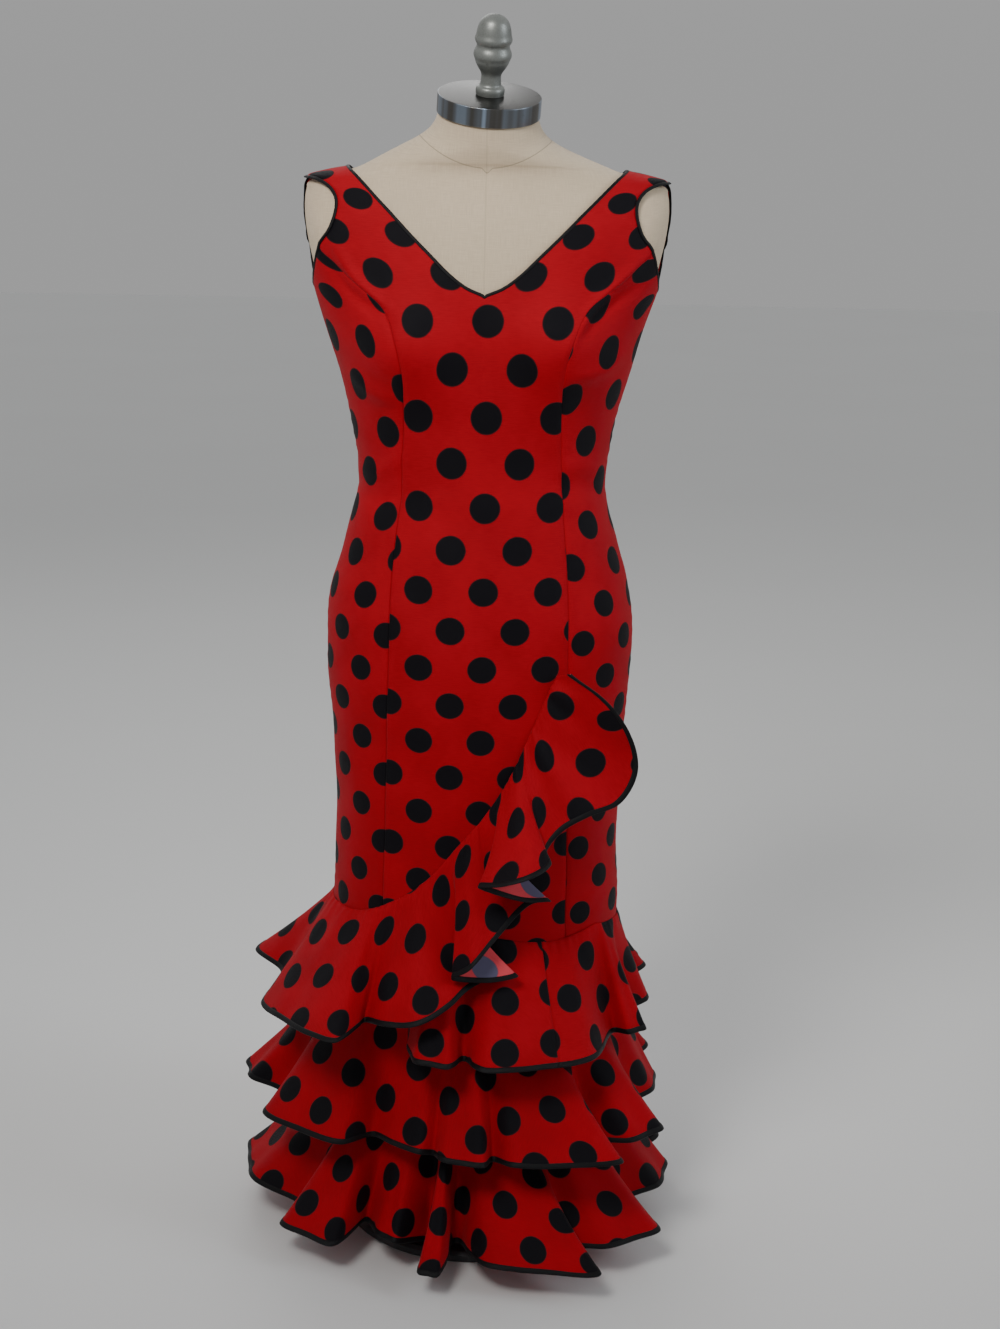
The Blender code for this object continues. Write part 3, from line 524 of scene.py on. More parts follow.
panels = {
    "bottom": -0.722, "refinedFrom": 0.155, "upperLevels": [0.155, 0.180, 0.197], "substeps": 4,
    "sideSeamTop": 0.192, "armholeHollow": 1.8, "columns": 26, "sideColumns": 26,
    "shoulderInner": 0.1520, "shoulderOuter": 0.196,
    "strapSwing": 0.34,     # how far the print leans outwards along the front straps
    "sideLean": 0.020,      # how far it leans on the front side panels
    "sideScale": (1.080, 1.035),    # and how close it is there, across and down
    "neckPoint": 0.207,
    # level, how close the print's rows are across and down: the cloth is eased in at the knees
    "printEase": np.array([(-0.74, 1.070, 1.145), (-0.35, 1.060, 1.135), (-0.20, 1.030, 1.100),
                           (0.0, 0.985, 0.970), (0.10, 0.970, 0.885), (0.16, 0.967, 0.900),
                           (0.20, 0.965, 0.960), (0.26, 0.970, 1.060), (0.36, 0.980, 1.000)]),
    "frontPrincess": np.array([
        (-0.740, 0.104), (-0.500, 0.103), (-0.270, 0.100), (-0.180, 0.098), (-0.100, 0.096),
        (0.000, 0.087), (0.085, 0.084), (0.130, 0.086), (0.160, 0.093), (0.200, 0.112),
        (0.222, 0.142), (0.252, 0.178),
    ]),
    "backPrincess": np.array([
        (-0.740, 0.098), (-0.300, 0.098), (-0.160, 0.096), (-0.080, 0.084), (0.000, 0.076),
        (0.060, 0.080), (0.120, 0.090), (0.170, 0.106), (0.200, 0.126), (0.222, 0.152),
        (0.252, 0.194),
    ]),
    "armholeRows": [(0.209, 0.196), (0.223, 0.201), (0.238, 0.205), (0.252, 0.208)],
    # inner edge's distance and level, outer edge's distance and level
    "frontStrap": [
        (0.000, 0.207, None, 0.209), (0.020, 0.216, None, 0.223), (0.039, 0.230, None, 0.238),
        (0.060, 0.250, 0.1780, 0.252), (0.080, 0.269, 0.1660, 0.270), (0.100, 0.289, 0.1590, 0.289),
        (0.118, 0.306, 0.1590, 0.305), (0.131, 0.3185, 0.1680, 0.317), (0.1425, 0.3290, 0.1830, 0.324),
    ],
    "backStrap": [
        (0.000, 0.214, None, 0.209), (0.028, 0.220, None, 0.223), (0.056, 0.234, None, 0.238),
        (0.082, 0.254, 0.1940, 0.252), (0.103, 0.276, 0.1975, 0.270), (0.120, 0.296, 0.1995, 0.289),
        (0.133, 0.311, 0.1990, 0.305), (0.141, 0.322, 0.1975, 0.317), (0.1475, 0.3295, 0.1935, 0.324),
    ],
    # where the print lies on each piece: dot lattice moved across and down
    "print": {
        "front_middle": (-0.004, 0.0152), "side_front_right": (0.0240, 0.0385),
        "side_front_left": (0.0390, 0.0315),
        "side_back_right": (0.030, 0.010), "side_back_left": (0.005, 0.040),
        "back_right": (0.018, 0.030), "back_left": (0.030, 0.052),
    },
}


def lowerLevels():
    count = round((panels["refinedFrom"] - panels["bottom"]) / cloth["rowStep"])
    return np.linspace(panels["bottom"], panels["refinedFrom"], count, endpoint=False)


def refined(rows, closer=1.0):      # more rows through the first ones, closer before the last
    rows = np.array(rows)
    count = len(rows) - 1
    at = np.linspace(0, count, panels["substeps"] * count + 1)
    at = np.where(at > count - 1, count - np.abs(count - at) ** closer, at)
    return smoothRows(np.column_stack([np.arange(count + 1), rows]), at)


def panelRows(princess, strap, side):
    def across(level):
        return float(smoothRows(princess, level)[0])

    rows = [(0.0, level, across(level), level) for level in panels["upperLevels"]]
    for inner, innerLevel, outer, outerLevel in strap:
        rows.append((inner, innerLevel, across(outerLevel) if outer is None else outer, outerLevel))
    inner, outer = panels["shoulderInner"], panels["shoulderOuter"]
    rows.append((inner, ridgeLevel(inner), outer, ridgeLevel(outer)))
    lower = [(0.0, level, across(level), level) for level in lowerLevels()]
    return np.array([(turnAt(max(x, 0.0), level, side), level, turnAt(end, endLevel, side), endLevel)
                     for x, level, end, endLevel in np.concatenate([lower, refined(rows, 2.0)])])


def sideRows(princess, strap, side):
    def across(level):
        return float(smoothRows(princess, level)[0])

    rows = [(across(level), level, level) for level in panels["upperLevels"]]
    rows[-1] = (*rows[-1][:2], panels["sideSeamTop"])
    for (_, _, outer, _), (level, endLevel) in zip(strap, panels["armholeRows"]):
        rows.append((across(level) if outer is None else outer, level, endLevel))
    lower = [(across(level), level, level) for level in lowerLevels()]
    return np.array([(turnAt(x, level, side), level, 0.0, endLevel)
                     for x, level, endLevel in np.concatenate([lower, refined(rows)])])


def bodyGrid(rows, columns, hollow=1.0):
    even = np.linspace(0, 1, columns + 1)
    share = 0.35 * even + 0.65 * (0.5 - 0.5 * np.cos(math.pi * even))    # closer together at the seams
    start, startLevel, end, endLevel = (rows[:, [column]] for column in range(4))
    level = endLevel + (startLevel - endLevel) * (1 - share) ** hollow
    return onBody(start + (end - start) * share, level)


def rowLengths(points):
    steps = np.linalg.norm(np.diff(points, axis=1), axis=2)
    return np.concatenate([np.zeros((len(points), 1)), np.cumsum(steps, axis=1)], axis=1)


def flatPanel(points, grain):      # the panel's cut, its grain line straight
    across = rowLengths(points)
    across = across - across[:, [grain]]
    rise = np.linalg.norm(np.diff(points[:, grain, 1:], axis=0), axis=1)
    ease = smoothRows(panels["printEase"], points[:, grain, 2])
    across = across * ease[:, [0]]
    rise = rise * (ease[1:, 1] + ease[:-1, 1]) / 2
    down = np.concatenate([[0], np.cumsum(rise)])
    down = down - np.interp(0.0, points[:, grain, 2], down)
    down = down[:, None] + points[..., 2] - points[:, [grain], 2]
    return np.stack([across, down], axis=-1)


def dressed(points, seams):     # the panel's grid with folds, and its seams rolled in
    run = points[..., 2]
    lift = bodyRelief(points)
    lengths = rowLengths(points)
    if "first" in seams:
        lift = lift + seamRelief(lengths, run)
    if "last" in seams:
        lift = lift + seamRelief(lengths[:, [-1]] - lengths, run + 0.004)
    return points + outward(points) * lift[..., None]


def onOtherSide(grid):
    return grid * np.array([-1, 1, 1])


def makeBodice():
    frontRows = panelRows(panels["frontPrincess"], panels["frontStrap"], -1)
    front = bodyGrid(frontRows, panels["columns"])
    flat = flatPanel(front, 0)
    strap = np.clip(front[..., 2] - panels["neckPoint"], 0, None)
    flat[..., 0] += front[:, [0], 0] - panels["strapSwing"] * strap
    printed = panels["print"]["front_middle"]
    pieces = {"front_middle": clothPiece("front_middle", [
        (dressed(front, ["last"]), flat + printed, False),
        (dressed(onOtherSide(front), ["last"]), flat * (-1, 1) + printed, True)], -1)}
    back = bodyGrid(panelRows(panels["backPrincess"], panels["backStrap"], 1), panels["columns"])
    frontSide = bodyGrid(sideRows(panels["frontPrincess"], panels["frontStrap"], -1),
                         panels["sideColumns"], panels["armholeHollow"])
    backSide = bodyGrid(sideRows(panels["backPrincess"], panels["backStrap"], 1),
                        panels["sideColumns"], panels["armholeHollow"])
    middle = panels["sideColumns"] // 2
    for label, turnedOver in (("right", False), ("left", True)):
        for name, grid, grain, inside in (("back", back, 0, True), ("side_front", frontSide, middle, False),
                                          ("side_back", backSide, middle, True)):
            name = f"{name}_{label}"
            flat = flatPanel(grid, grain)
            if grain == 0:
                flat[..., 0] += grid[:, [0], 0]
            elif not inside:
                flat *= panels["sideScale"]
                flat[..., 0] += panels["sideLean"] * flat[..., 1]
            points = onOtherSide(grid) if turnedOver else grid
            pieces[name] = clothPiece(name, [(dressed(points, ["first", "last"]),
                                              flat + panels["print"][name], inside != turnedOver)], -1)
    print("bodice:", len(pieces), "panels")
    return pieces, (front, back, frontSide, backSide)


# Bindings: a rounded tape folded over an edge and carried along it
tapes = {
    "opening": {"width": 0.0030, "thickness": 0.0018, "lap": 0.0006},
    "hem": {"width": 0.0062, "thickness": 0.0020, "lap": 0.0004, "cover": 0.6},
    "sectionPoints": 12, "smoothings": 10, "pathStep": 0.0035, "gather": 0.010, "gatherHeight": 0.00022,
}


def tapePiece(name, path, across, normals, size, closed):
    if closed:
        path, across, normals = (np.concatenate([part, part[:1]]) for part in (path, across, normals))
    steps = np.linalg.norm(np.diff(path, axis=0), axis=1)
    run = np.concatenate([[0], np.cumsum(steps)])
    halfWidth = (size["width"] + size["lap"]) / 2
    middle = (size["width"] - size["lap"]) / 2
    points, flat = [], []
    for turn in np.linspace(0, 2 * math.pi, tapes["sectionPoints"] + 1):
        side = np.sign(math.cos(turn)) * abs(math.cos(turn)) ** 0.6 * halfWidth
        lift = np.sign(math.sin(turn)) * abs(math.sin(turn)) ** 0.75 * size["thickness"] / 2
        pull = tapes["gatherHeight"] * np.sin(2 * math.pi * run / tapes["gather"] + 1.5 * np.sin(run / 0.05))
        lift = lift * (1 + 0.10 * np.sin(run / 0.0041)) + pull * abs(lift) / size["thickness"]
        points.append(path + across * (middle + side) + normals * np.broadcast_to(lift, run.shape)[:, None])
        flat.append(np.stack([run, np.full_like(run, turn / (2 * math.pi) * 2.4 * size["width"])], axis=-1))
    shape = bmesh.new()
    gridSheet(shape, np.array(points), np.array(flat), False)
    bmesh.ops.remove_doubles(shape, verts=shape.verts, dist=weldDistance)
    if not closed:
        ends = [edge for edge in shape.edges if edge.is_boundary]
        bmesh.ops.holes_fill(shape, edges=ends, sides=0)
    bmesh.ops.recalc_face_normals(shape, faces=shape.faces)
    piece = newPiece(name + "_tape", shape, [tape], name)
    return piece


def evenPath(path, step, closed=True):      # points at even steps along a path
    if closed:
        path = np.concatenate([path, path[:1]])
    lengths = np.linalg.norm(np.diff(path, axis=0), axis=1)
    run = np.concatenate([[0], np.cumsum(lengths)])
    at = np.linspace(0, run[-1], math.ceil(run[-1] / step), endpoint=not closed)
    return np.stack([np.interp(at, run, column) for column in path.T], axis=-1)


def openingTape(name, path):
    path = evenPath(path, tapes["pathStep"])
    normals = outward(path)
    for _ in range(tapes["smoothings"]):
        normals = np.roll(normals, -1, axis=0) + 2 * normals + np.roll(normals, 1, axis=0)
        normals /= np.linalg.norm(normals, axis=1, keepdims=True)
    along = np.roll(path, -1, axis=0) - np.roll(path, 1, axis=0)
    along /= np.linalg.norm(along, axis=1, keepdims=True)
    across = np.cross(normals, along)
    across /= np.linalg.norm(across, axis=1, keepdims=True)
    lifted = path + normals * (bodyRelief(path) - cloth["thickness"] / 2)[:, None]
    return tapePiece(name, lifted, across, normals, tapes["opening"], closed=True)


def makeOpeningTapes(grids):
    front, back, frontSide, backSide = grids
    first = len(lowerLevels())
    substeps = panels["substeps"]
    neckRow = first + substeps * len(panels["upperLevels"])
    sideRow = neckRow + substeps * (len(panels["armholeRows"]) - 1)
    frontInner, backInner = front[neckRow:, 0], back[neckRow:, 0]
    neck = np.concatenate([frontInner, backInner[-2:0:-1], onOtherSide(backInner)[:-1],
                           onOtherSide(frontInner)[:0:-1]])
    armhole = np.concatenate([frontSide[-1], backSide[-1][-2:0:-1], back[sideRow:-1, -1],
                              front[:sideRow:-1, -1]])
    openingTape("neck_binding", neck)
    openingTape("armhole_binding_right", armhole)
    openingTape("armhole_binding_left", onOtherSide(armhole)[::-1])
    print("bindings of the neck and the armholes")


# Flounces. A row for each fold: direction and reach of its two shoulders, direction and reach
# of the hollow after it, level of the hem. -90 is the front, 0 the right, 90 the back.
flounces = {
    "firstHollow": (-117, 0.158), "hollowDrop": 0.004,
    "skirtHalfWidth": 0.160, "skirtHalfDepth": 0.123,
    "flareOut": 1.15, "flareAlong": 1.7, "seamLift": 0.0003, "seamGap": 0.0003, "cadCloth": 0.0014,
    "frontCut": -58, "leftCut": 180, "rightCut": 5,
    "seamTwo": -0.592, "seamThree": -0.708,
    "rows": 26, "columnStep": 0.0050, "widestTurn": math.radians(11), "stepsBetweenKeys": 24,
    "one": [
        (-108, 0.199, -97, 0.204, -93, 0.172, -0.620), (-86, 0.209, -52, 0.218, -28, 0.184, -0.620),
        (-29, 0.205, -23, 0.216, -13, 0.182, -0.620), (-3, 0.204, 8, 0.206, 14, 0.186, -0.616),
        (23, 0.226, 34, 0.236, 44, 0.192, -0.612), (54, 0.228, 68, 0.232, 76, 0.184, -0.616),
        (85, 0.226, 99, 0.228, 108, 0.182, -0.618), (117, 0.230, 132, 0.238, 141, 0.200, -0.612),
        (153, 0.262, 167, 0.272, 180, 0.228, -0.590),
    ],
    "two": [
        (-189, 0.276, -178, 0.264, -174, 0.226, -0.726), (-160, 0.256, -132, 0.217, -130, 0.174, -0.733),
        (-119, 0.184, -107, 0.192, -103, 0.180, -0.732), (-98, 0.202, -86, 0.212, -82, 0.188, -0.733),
        (-76, 0.214, -48, 0.256, -45, 0.206, -0.734), (-39, 0.236, -27, 0.248, -17, 0.196, -0.730),
        (-7, 0.216, 6, 0.220, 15, 0.190, -0.724), (26, 0.240, 41, 0.246, 50, 0.196, -0.726),
        (60, 0.238, 75, 0.236, 84, 0.188, -0.732), (93, 0.234, 108, 0.240, 117, 0.190, -0.730),
        (127, 0.248, 143, 0.252, 155, 0.214, -0.728),
    ],
    "three": [
        (-192, 0.276, -169, 0.262, -156, 0.218, -0.838), (-147, 0.258, -129, 0.242, -133, 0.176, -0.845),
        (-122, 0.196, -114, 0.202, -107, 0.160, -0.842), (-103, 0.238, -98, 0.240, -95, 0.164, -0.853),
        (-85, 0.222, -58, 0.278, -57, 0.218, -0.848), (-50, 0.244, -33, 0.262, -23, 0.202, -0.842),
        (-13, 0.230, 3, 0.236, 12, 0.202, -0.835), (22, 0.250, 37, 0.254, 46, 0.202, -0.842),
        (56, 0.248, 72, 0.250, 80, 0.196, -0.846), (89, 0.250, 106, 0.246, 115, 0.194, -0.846),
        (125, 0.254, 143, 0.260, 155, 0.220, -0.842),
    ],
    # direction round the body, level of the first flounce's seam
    "spiralStart": -125,
    "spiralSeam": np.array([
        (-125, -0.494), (-80, -0.498), (-58, -0.506), (-45, -0.496), (-25, -0.500), (0, -0.506),
        (60, -0.502), (120, -0.500), (180, -0.488),
    ]),
    # the seam's climb up the front: distance from the middle, level
    "climb": np.array([
        (-0.172, -0.487), (-0.130, -0.482), (-0.088, -0.460), (-0.045, -0.424), (-0.019, -0.391),
        (0.011, -0.354), (0.041, -0.301), (0.060, -0.256), (0.080, -0.207), (0.092, -0.186),
    ]),
    # the cascade's hem, a row for each turn: place on the climb, then distance from the middle,
    # out and level
    "cascade": [
        (-0.163, -0.242, 0.085, -0.597), (-0.145, -0.210, 0.150, -0.590), (-0.128, -0.180, 0.190, -0.588),
        (-0.113, -0.148, 0.208, -0.588), (-0.102, -0.128, 0.174, -0.587), (-0.094, -0.120, 0.158, -0.586),
        (-0.082, -0.095, 0.186, -0.578), (-0.068, -0.059, 0.200, -0.571), (-0.054, -0.026, 0.189, -0.555),
        (-0.044, -0.002, 0.166, -0.540), (-0.035, 0.034, 0.146, -0.531), (-0.031, 0.050, 0.156, -0.529),
        (-0.026, 0.020, 0.167, -0.532), (-0.019, -0.023, 0.177, -0.525), (-0.011, -0.002, 0.189, -0.508),
        (0.001, 0.022, 0.172, -0.484), (0.008, 0.062, 0.149, -0.447), (0.014, 0.084, 0.159, -0.439),
        (0.020, 0.056, 0.172, -0.435), (0.027, 0.004, 0.190, -0.413), (0.033, 0.030, 0.210, -0.404),
        (0.040, 0.060, 0.211, -0.395), (0.046, 0.082, 0.186, -0.388), (0.051, 0.078, 0.158, -0.382),
        (0.056, 0.095, 0.146, -0.363), (0.060, 0.124, 0.143, -0.346), (0.065, 0.158, 0.134, -0.333),
        (0.070, 0.176, 0.128, -0.298), (0.075, 0.165, 0.131, -0.252), (0.080, 0.137, 0.133, -0.216),
        (0.085, 0.101, 0.124, -0.191),
    ],
    "tuck": 0.0010, "tuckReach": 0.03,      # the top edge is sewn down
    # small waves: length along the flounce, height, turn, share of the way down where they are
    "ripples": [
        (0.0146, 0.00060, 0.3, 0.03, 0.10), (0.046, 0.00110, 1.2, 0.35, 0.30),
        (0.029, 0.00060, 2.6, 0.20, 0.22), (0.037, 0.00110, 0.9, 1.00, 0.24),
        (0.071, 0.00150, 4.0, 0.70, 0.40),
    ],
}


def roundTurn(direction):
    angle = math.radians(direction)
    flat = math.atan2(math.sin(angle) / flounces["skirtHalfDepth"],
                      math.cos(angle) / flounces["skirtHalfWidth"])
    return flat + 2 * math.pi * round((angle - flat) / (2 * math.pi))


def foldKeys(folds, startHollow, seamLevel):    # seam turn and level, then the hem's x, y and level
    keys = []
    hollowDirection, hollowReach = startHollow
    drop = flounces["hollowDrop"]
    for left, leftReach, right, rightReach, after, afterReach, level in folds:
        corners = [(reach * math.cos(math.radians(direction)), reach * math.sin(math.radians(direction)))
                   for direction, reach in ((hollowDirection, hollowReach), (left, leftReach),
                                            (right, rightReach), (after, afterReach))]
        lengths = np.cumsum([0] + [math.dist(*pair) for pair in zip(corners, corners[1:])])
        shares = lengths / lengths[-1]
        first, last = roundTurn(hollowDirection), roundTurn(after)
        bulge = ((corners[1][0] + corners[2][0]) / 2, (corners[1][1] + corners[2][1]) / 2)
        reach = (leftReach + rightReach) / 2 / math.hypot(*bulge)
        for share, (x, y) in ((0, corners[0]), (shares[1], corners[1]),
                              ((shares[1] + shares[2]) / 2, (bulge[0] * reach, bulge[1] * reach)),
                              (shares[2], corners[2])):
            turn = first + (last - first) * share
            keys.append((turn, seamLevel(math.degrees(turn)), x, y, level - (drop if share == 0 else 0)))
        hollowDirection, hollowReach = after, afterReach
    angle = math.radians(hollowDirection)
    turn = roundTurn(hollowDirection)
    keys.append((turn, seamLevel(math.degrees(turn)), hollowReach * math.cos(angle),
                 hollowReach * math.sin(angle), level - drop))
    return keys


def cascadeKeys():
    keys = []
    for place, across, out, level in flounces["cascade"]:
        seamLevel = float(smoothRows(flounces["climb"], place)[0])
        keys.append((turnAt(place, seamLevel, -1) + 2 * math.pi, seamLevel, across, -out, level))
    return keys


def lerp(start, end, low, high, time):
    return start + (end - start) * (time - low) / (high - low)


def smoothKeys(keys):       # a curve through the rows, read closely in tight turns
    keys = np.array(keys)
    padded = np.concatenate([2 * keys[:1] - keys[1:2], keys, 2 * keys[-1:] - keys[-2:-1]])
    dense = []
    for first, second, third, fourth in zip(padded, padded[1:], padded[2:], padded[3:]):
        knots = [0.0]
        for one, other in ((first, second), (second, third), (third, fourth)):
            knots.append(knots[-1] + math.sqrt(np.linalg.norm(other[2:] - one[2:])))
        for time in np.linspace(knots[1], knots[2], flounces["stepsBetweenKeys"], endpoint=False):
            one = lerp(first, second, knots[0], knots[1], time)
            two = lerp(second, third, knots[1], knots[2], time)
            three = lerp(third, fourth, knots[2], knots[3], time)
            early = lerp(one, two, knots[0], knots[2], time)
            late = lerp(two, three, knots[1], knots[3], time)
            dense.append(lerp(early, late, knots[1], knots[2], time))
    dense.append(keys[-1])
    dense = np.array(dense)
    steps = np.diff(dense[:, 2:], axis=0)
    sizes = np.linalg.norm(steps, axis=1)
    cosines = np.sum(steps[1:] * steps[:-1], axis=1) / (sizes[1:] * sizes[:-1])
    bends = np.concatenate([[0], np.arccos(np.clip(cosines, -1, 1))])
    weight = np.concatenate([[0], np.cumsum(sizes / flounces["columnStep"] + bends / flounces["widestTurn"])])
    at = np.linspace(0, weight[-1], math.ceil(weight[-1]) + 1)
    return np.stack([np.interp(at, weight, column) for column in dense.T], axis=1)


def flounceGrid(columns):
    seam = onBody(columns[:, 0], columns[:, 1])
    away = outward(seam)
    seam = seam + away * (flounces["seamGap"] + flounces["seamLift"] + flounces["cadCloth"] / 2)
    hem = columns[:, 2:5]
    away[:, 2] = 0
    away /= np.linalg.norm(away, axis=1, keepdims=True)
    down = (hem - seam) * np.array([0, 0, 1])
    out = away * np.sum((hem - seam) * away, axis=1, keepdims=True)
    along = hem - seam - down - out
    even = np.linspace(0, 1, flounces["rows"])
    shares = 0.5 * even + 0.5 * (0.5 - 0.5 * np.cos(math.pi * even))
    grid = np.array([seam + down * share + out * share ** flounces["flareOut"]
                     + along * share ** flounces["flareAlong"] for share in shares])
    return grid, shares


def gridNormals(grid, ring):
    if ring:
        grid = np.concatenate([grid[:, -2:-1], grid, grid[:, 1:2]], axis=1)
    steps = np.diff(grid, axis=1)
    steps /= np.maximum(np.linalg.norm(steps, axis=2, keepdims=True), 1e-9)
    along = np.concatenate([steps[:, :1], steps[:, 1:] + steps[:, :-1], steps[:, -1:]], axis=1)
    normals = np.cross(np.gradient(grid, axis=0), along)
    normals /= np.linalg.norm(normals, axis=2, keepdims=True)
    return normals[:, 1:-1] if ring else normals


def flatFlounce(grid):      # the flounce unrolled from its seam into a curved strip
    seam, hem = grid[0], grid[-1]
    seamSteps = np.linalg.norm(np.diff(seam, axis=0), axis=1)
    hemSteps = np.linalg.norm(np.diff(hem, axis=0), axis=1)
    fall = np.concatenate([np.zeros((1, grid.shape[1])),
                           np.cumsum(np.linalg.norm(np.diff(grid, axis=0), axis=2), axis=0)])
    angle, place = 0.0, np.zeros(2)
    flat = np.zeros((*grid.shape[:2], 2))
    for column in range(grid.shape[1]):
        down = np.array([math.sin(angle), -math.cos(angle)])
        flat[:, column] = place + fall[:, [column]] * down
        if column < len(seamSteps):
            turn = (hemSteps[column] - seamSteps[column]) / fall[-1, column]
            angle += turn / 2
            place = place + seamSteps[column] * np.array([math.cos(angle), math.sin(angle)])
            angle += turn / 2
    return flat


def ripple(grid, normals, shares):
    run = np.cumsum(np.linalg.norm(np.diff(grid[len(grid) // 2], axis=0), axis=1))
    run = np.concatenate([[0], run])
    lift = np.zeros(grid.shape[:2])
    for length, height, turn, middle, spread in flounces["ripples"]:
        wave = np.sin(2 * math.pi * run / length + turn + 2.5 * np.sin(run / (2.7 * length)))
        wave = wave * (0.6 + 0.4 * np.sin(run / (1.9 * length) + turn))
        lift += height * wave * np.exp(-((shares[:, None] - middle) / spread) ** 2)
    lift -= flounces["tuck"] * np.exp(-(shares[:, None] / flounces["tuckReach"]) ** 2)
    return grid + normals * lift[..., None]


def cutAt(columns, turn):
    return int(np.argmin(np.abs(columns[:, 0] - turn)))


def flounce(number, columns, pieces, printed):
    grid, shares = flounceGrid(columns)
    normals = gridNormals(grid, ring=number > 1)
    moved = ripple(grid, normals, shares)
    made = {}
    for name, first, last in pieces:
        part = slice(first, last + 1)
        name = f"flounce_{number}_{name}"
        down = moved[-1, part] - moved[-3, part]
        down /= np.linalg.norm(down, axis=1, keepdims=True)
        sheet = moved[:, part].copy()
        sheet[-1] -= down * tapes["hem"]["width"] * tapes["hem"]["cover"]
        flat = flatFlounce(grid[:, part]) + np.array(printed)
        made[name] = clothPiece(name, [(sheet, flat, True)], 0)
        tapePath = moved[-1, part] - down * (tapes["hem"]["width"])
        made[name + "_binding"] = tapePiece(name + "_binding", tapePath, down, normals[-1, part],
                                            tapes["hem"], closed=False)
    return made


def seamOfSpiral(direction):
    start = flounces["spiralStart"]
    return float(smoothRows(flounces["spiralSeam"], (direction - start) % 360 + start)[0])


def makeFlounces():
    first = foldKeys(flounces["one"], flounces["firstHollow"], seamOfSpiral)
    spiral = smoothKeys(first + cascadeKeys())
    frontEnd = cutAt(spiral, roundTurn(flounces["frontCut"]))
    leftEnd = cutAt(spiral, roundTurn(flounces["leftCut"]))
    made = flounce(1, spiral, [("front", 0, frontEnd), ("back", frontEnd, leftEnd),
                               ("cascade", leftEnd, len(spiral) - 1)], (0.010, 0.020))
    for number, folds, level, printed in ((2, flounces["two"], flounces["seamTwo"], (0.0, 0.030)),
                                          (3, flounces["three"], flounces["seamThree"], (0.022, 0.005))):
        start = (folds[-1][4] - 360, folds[-1][5])
        ring = smoothKeys(foldKeys(folds, start, lambda direction: level))
        middle = cutAt(ring, roundTurn(flounces["rightCut"]))
        made.update(flounce(number, ring, [("front", 0, middle), ("back", middle, len(ring) - 1)], printed))
    print("flounces:", len(made), "pieces")
    return made


# The form under the dress
form = {
    "inset": 0.0039, "slack": 0.0025, "shoulderSlack": 0.0010, "armStumpInset": 0.0040,
    "columns": 144, "substeps": 4, "turnSteps": 96,
    "levels": [-0.240, -0.220, -0.180, -0.130, -0.070, -0.020, 0.030, 0.080, 0.105, 0.130, 0.155, 0.180,
               0.205, 0.235, 0.262, 0.285, 0.303, 0.315, 0.323, 0.329, 0.334, 0.339, 0.345, 0.352, 0.359,
               0.366, 0.3715],
    "smoothFrom": 0.345, "smoothings": 40,
    "neckTilt": math.radians(15.5), "neckLean": math.radians(3.3),
    "tiltLevels": (0.335, 0.375), "leanReach": (0.100, 0.140),
    "neckTop": (-0.0075, 0.393), "neckFoot": (-0.0035, 0.370),
    # share of the way up, half width, half depth
    "neckRings": [(0.22, 0.0592, 0.0545), (0.52, 0.0552, 0.0538), (1.0, 0.0530, 0.0530)],
    # the seam where the neck begins: its height in front, how it rises to the sides, its point
    "neckSeam": {"front": 1.2225, "rise": 6.0, "back": 0.031, "point": 0.0046, "pointWidth": 0.0065},
    "capRadius": 0.0555, "capHeight": 0.0205, "capBevel": 0.0009, "gap": 0.0003,
    "finial": [     # radius and height: foot, stem, bulge, ring, ring, acorn
        (0.0150, 0), (0.0155, 0.0045), (0.0146, 0.0080), (0.0120, 0.0100), (0.0110, 0.0130),
        (0.0107, 0.0205), (0.0122, 0.0247), (0.0148, 0.0285), (0.0174, 0.0333), (0.0186, 0.0370),
        (0.0202, 0.0415), (0.0196, 0.0458), (0.0178, 0.0498), (0.0175, 0.0525), (0.0190, 0.0553),
        (0.0199, 0.0585), (0.0191, 0.0617), (0.0186, 0.0636), (0.0179, 0.0678), (0.0166, 0.0727),
        (0.0141, 0.0777), (0.0100, 0.0814), (0.0045, 0.0839), (0, 0.0846),
    ],
}


def ramp(value, low, high):
    return np.clip((value - low) / (high - low), 0, 1)


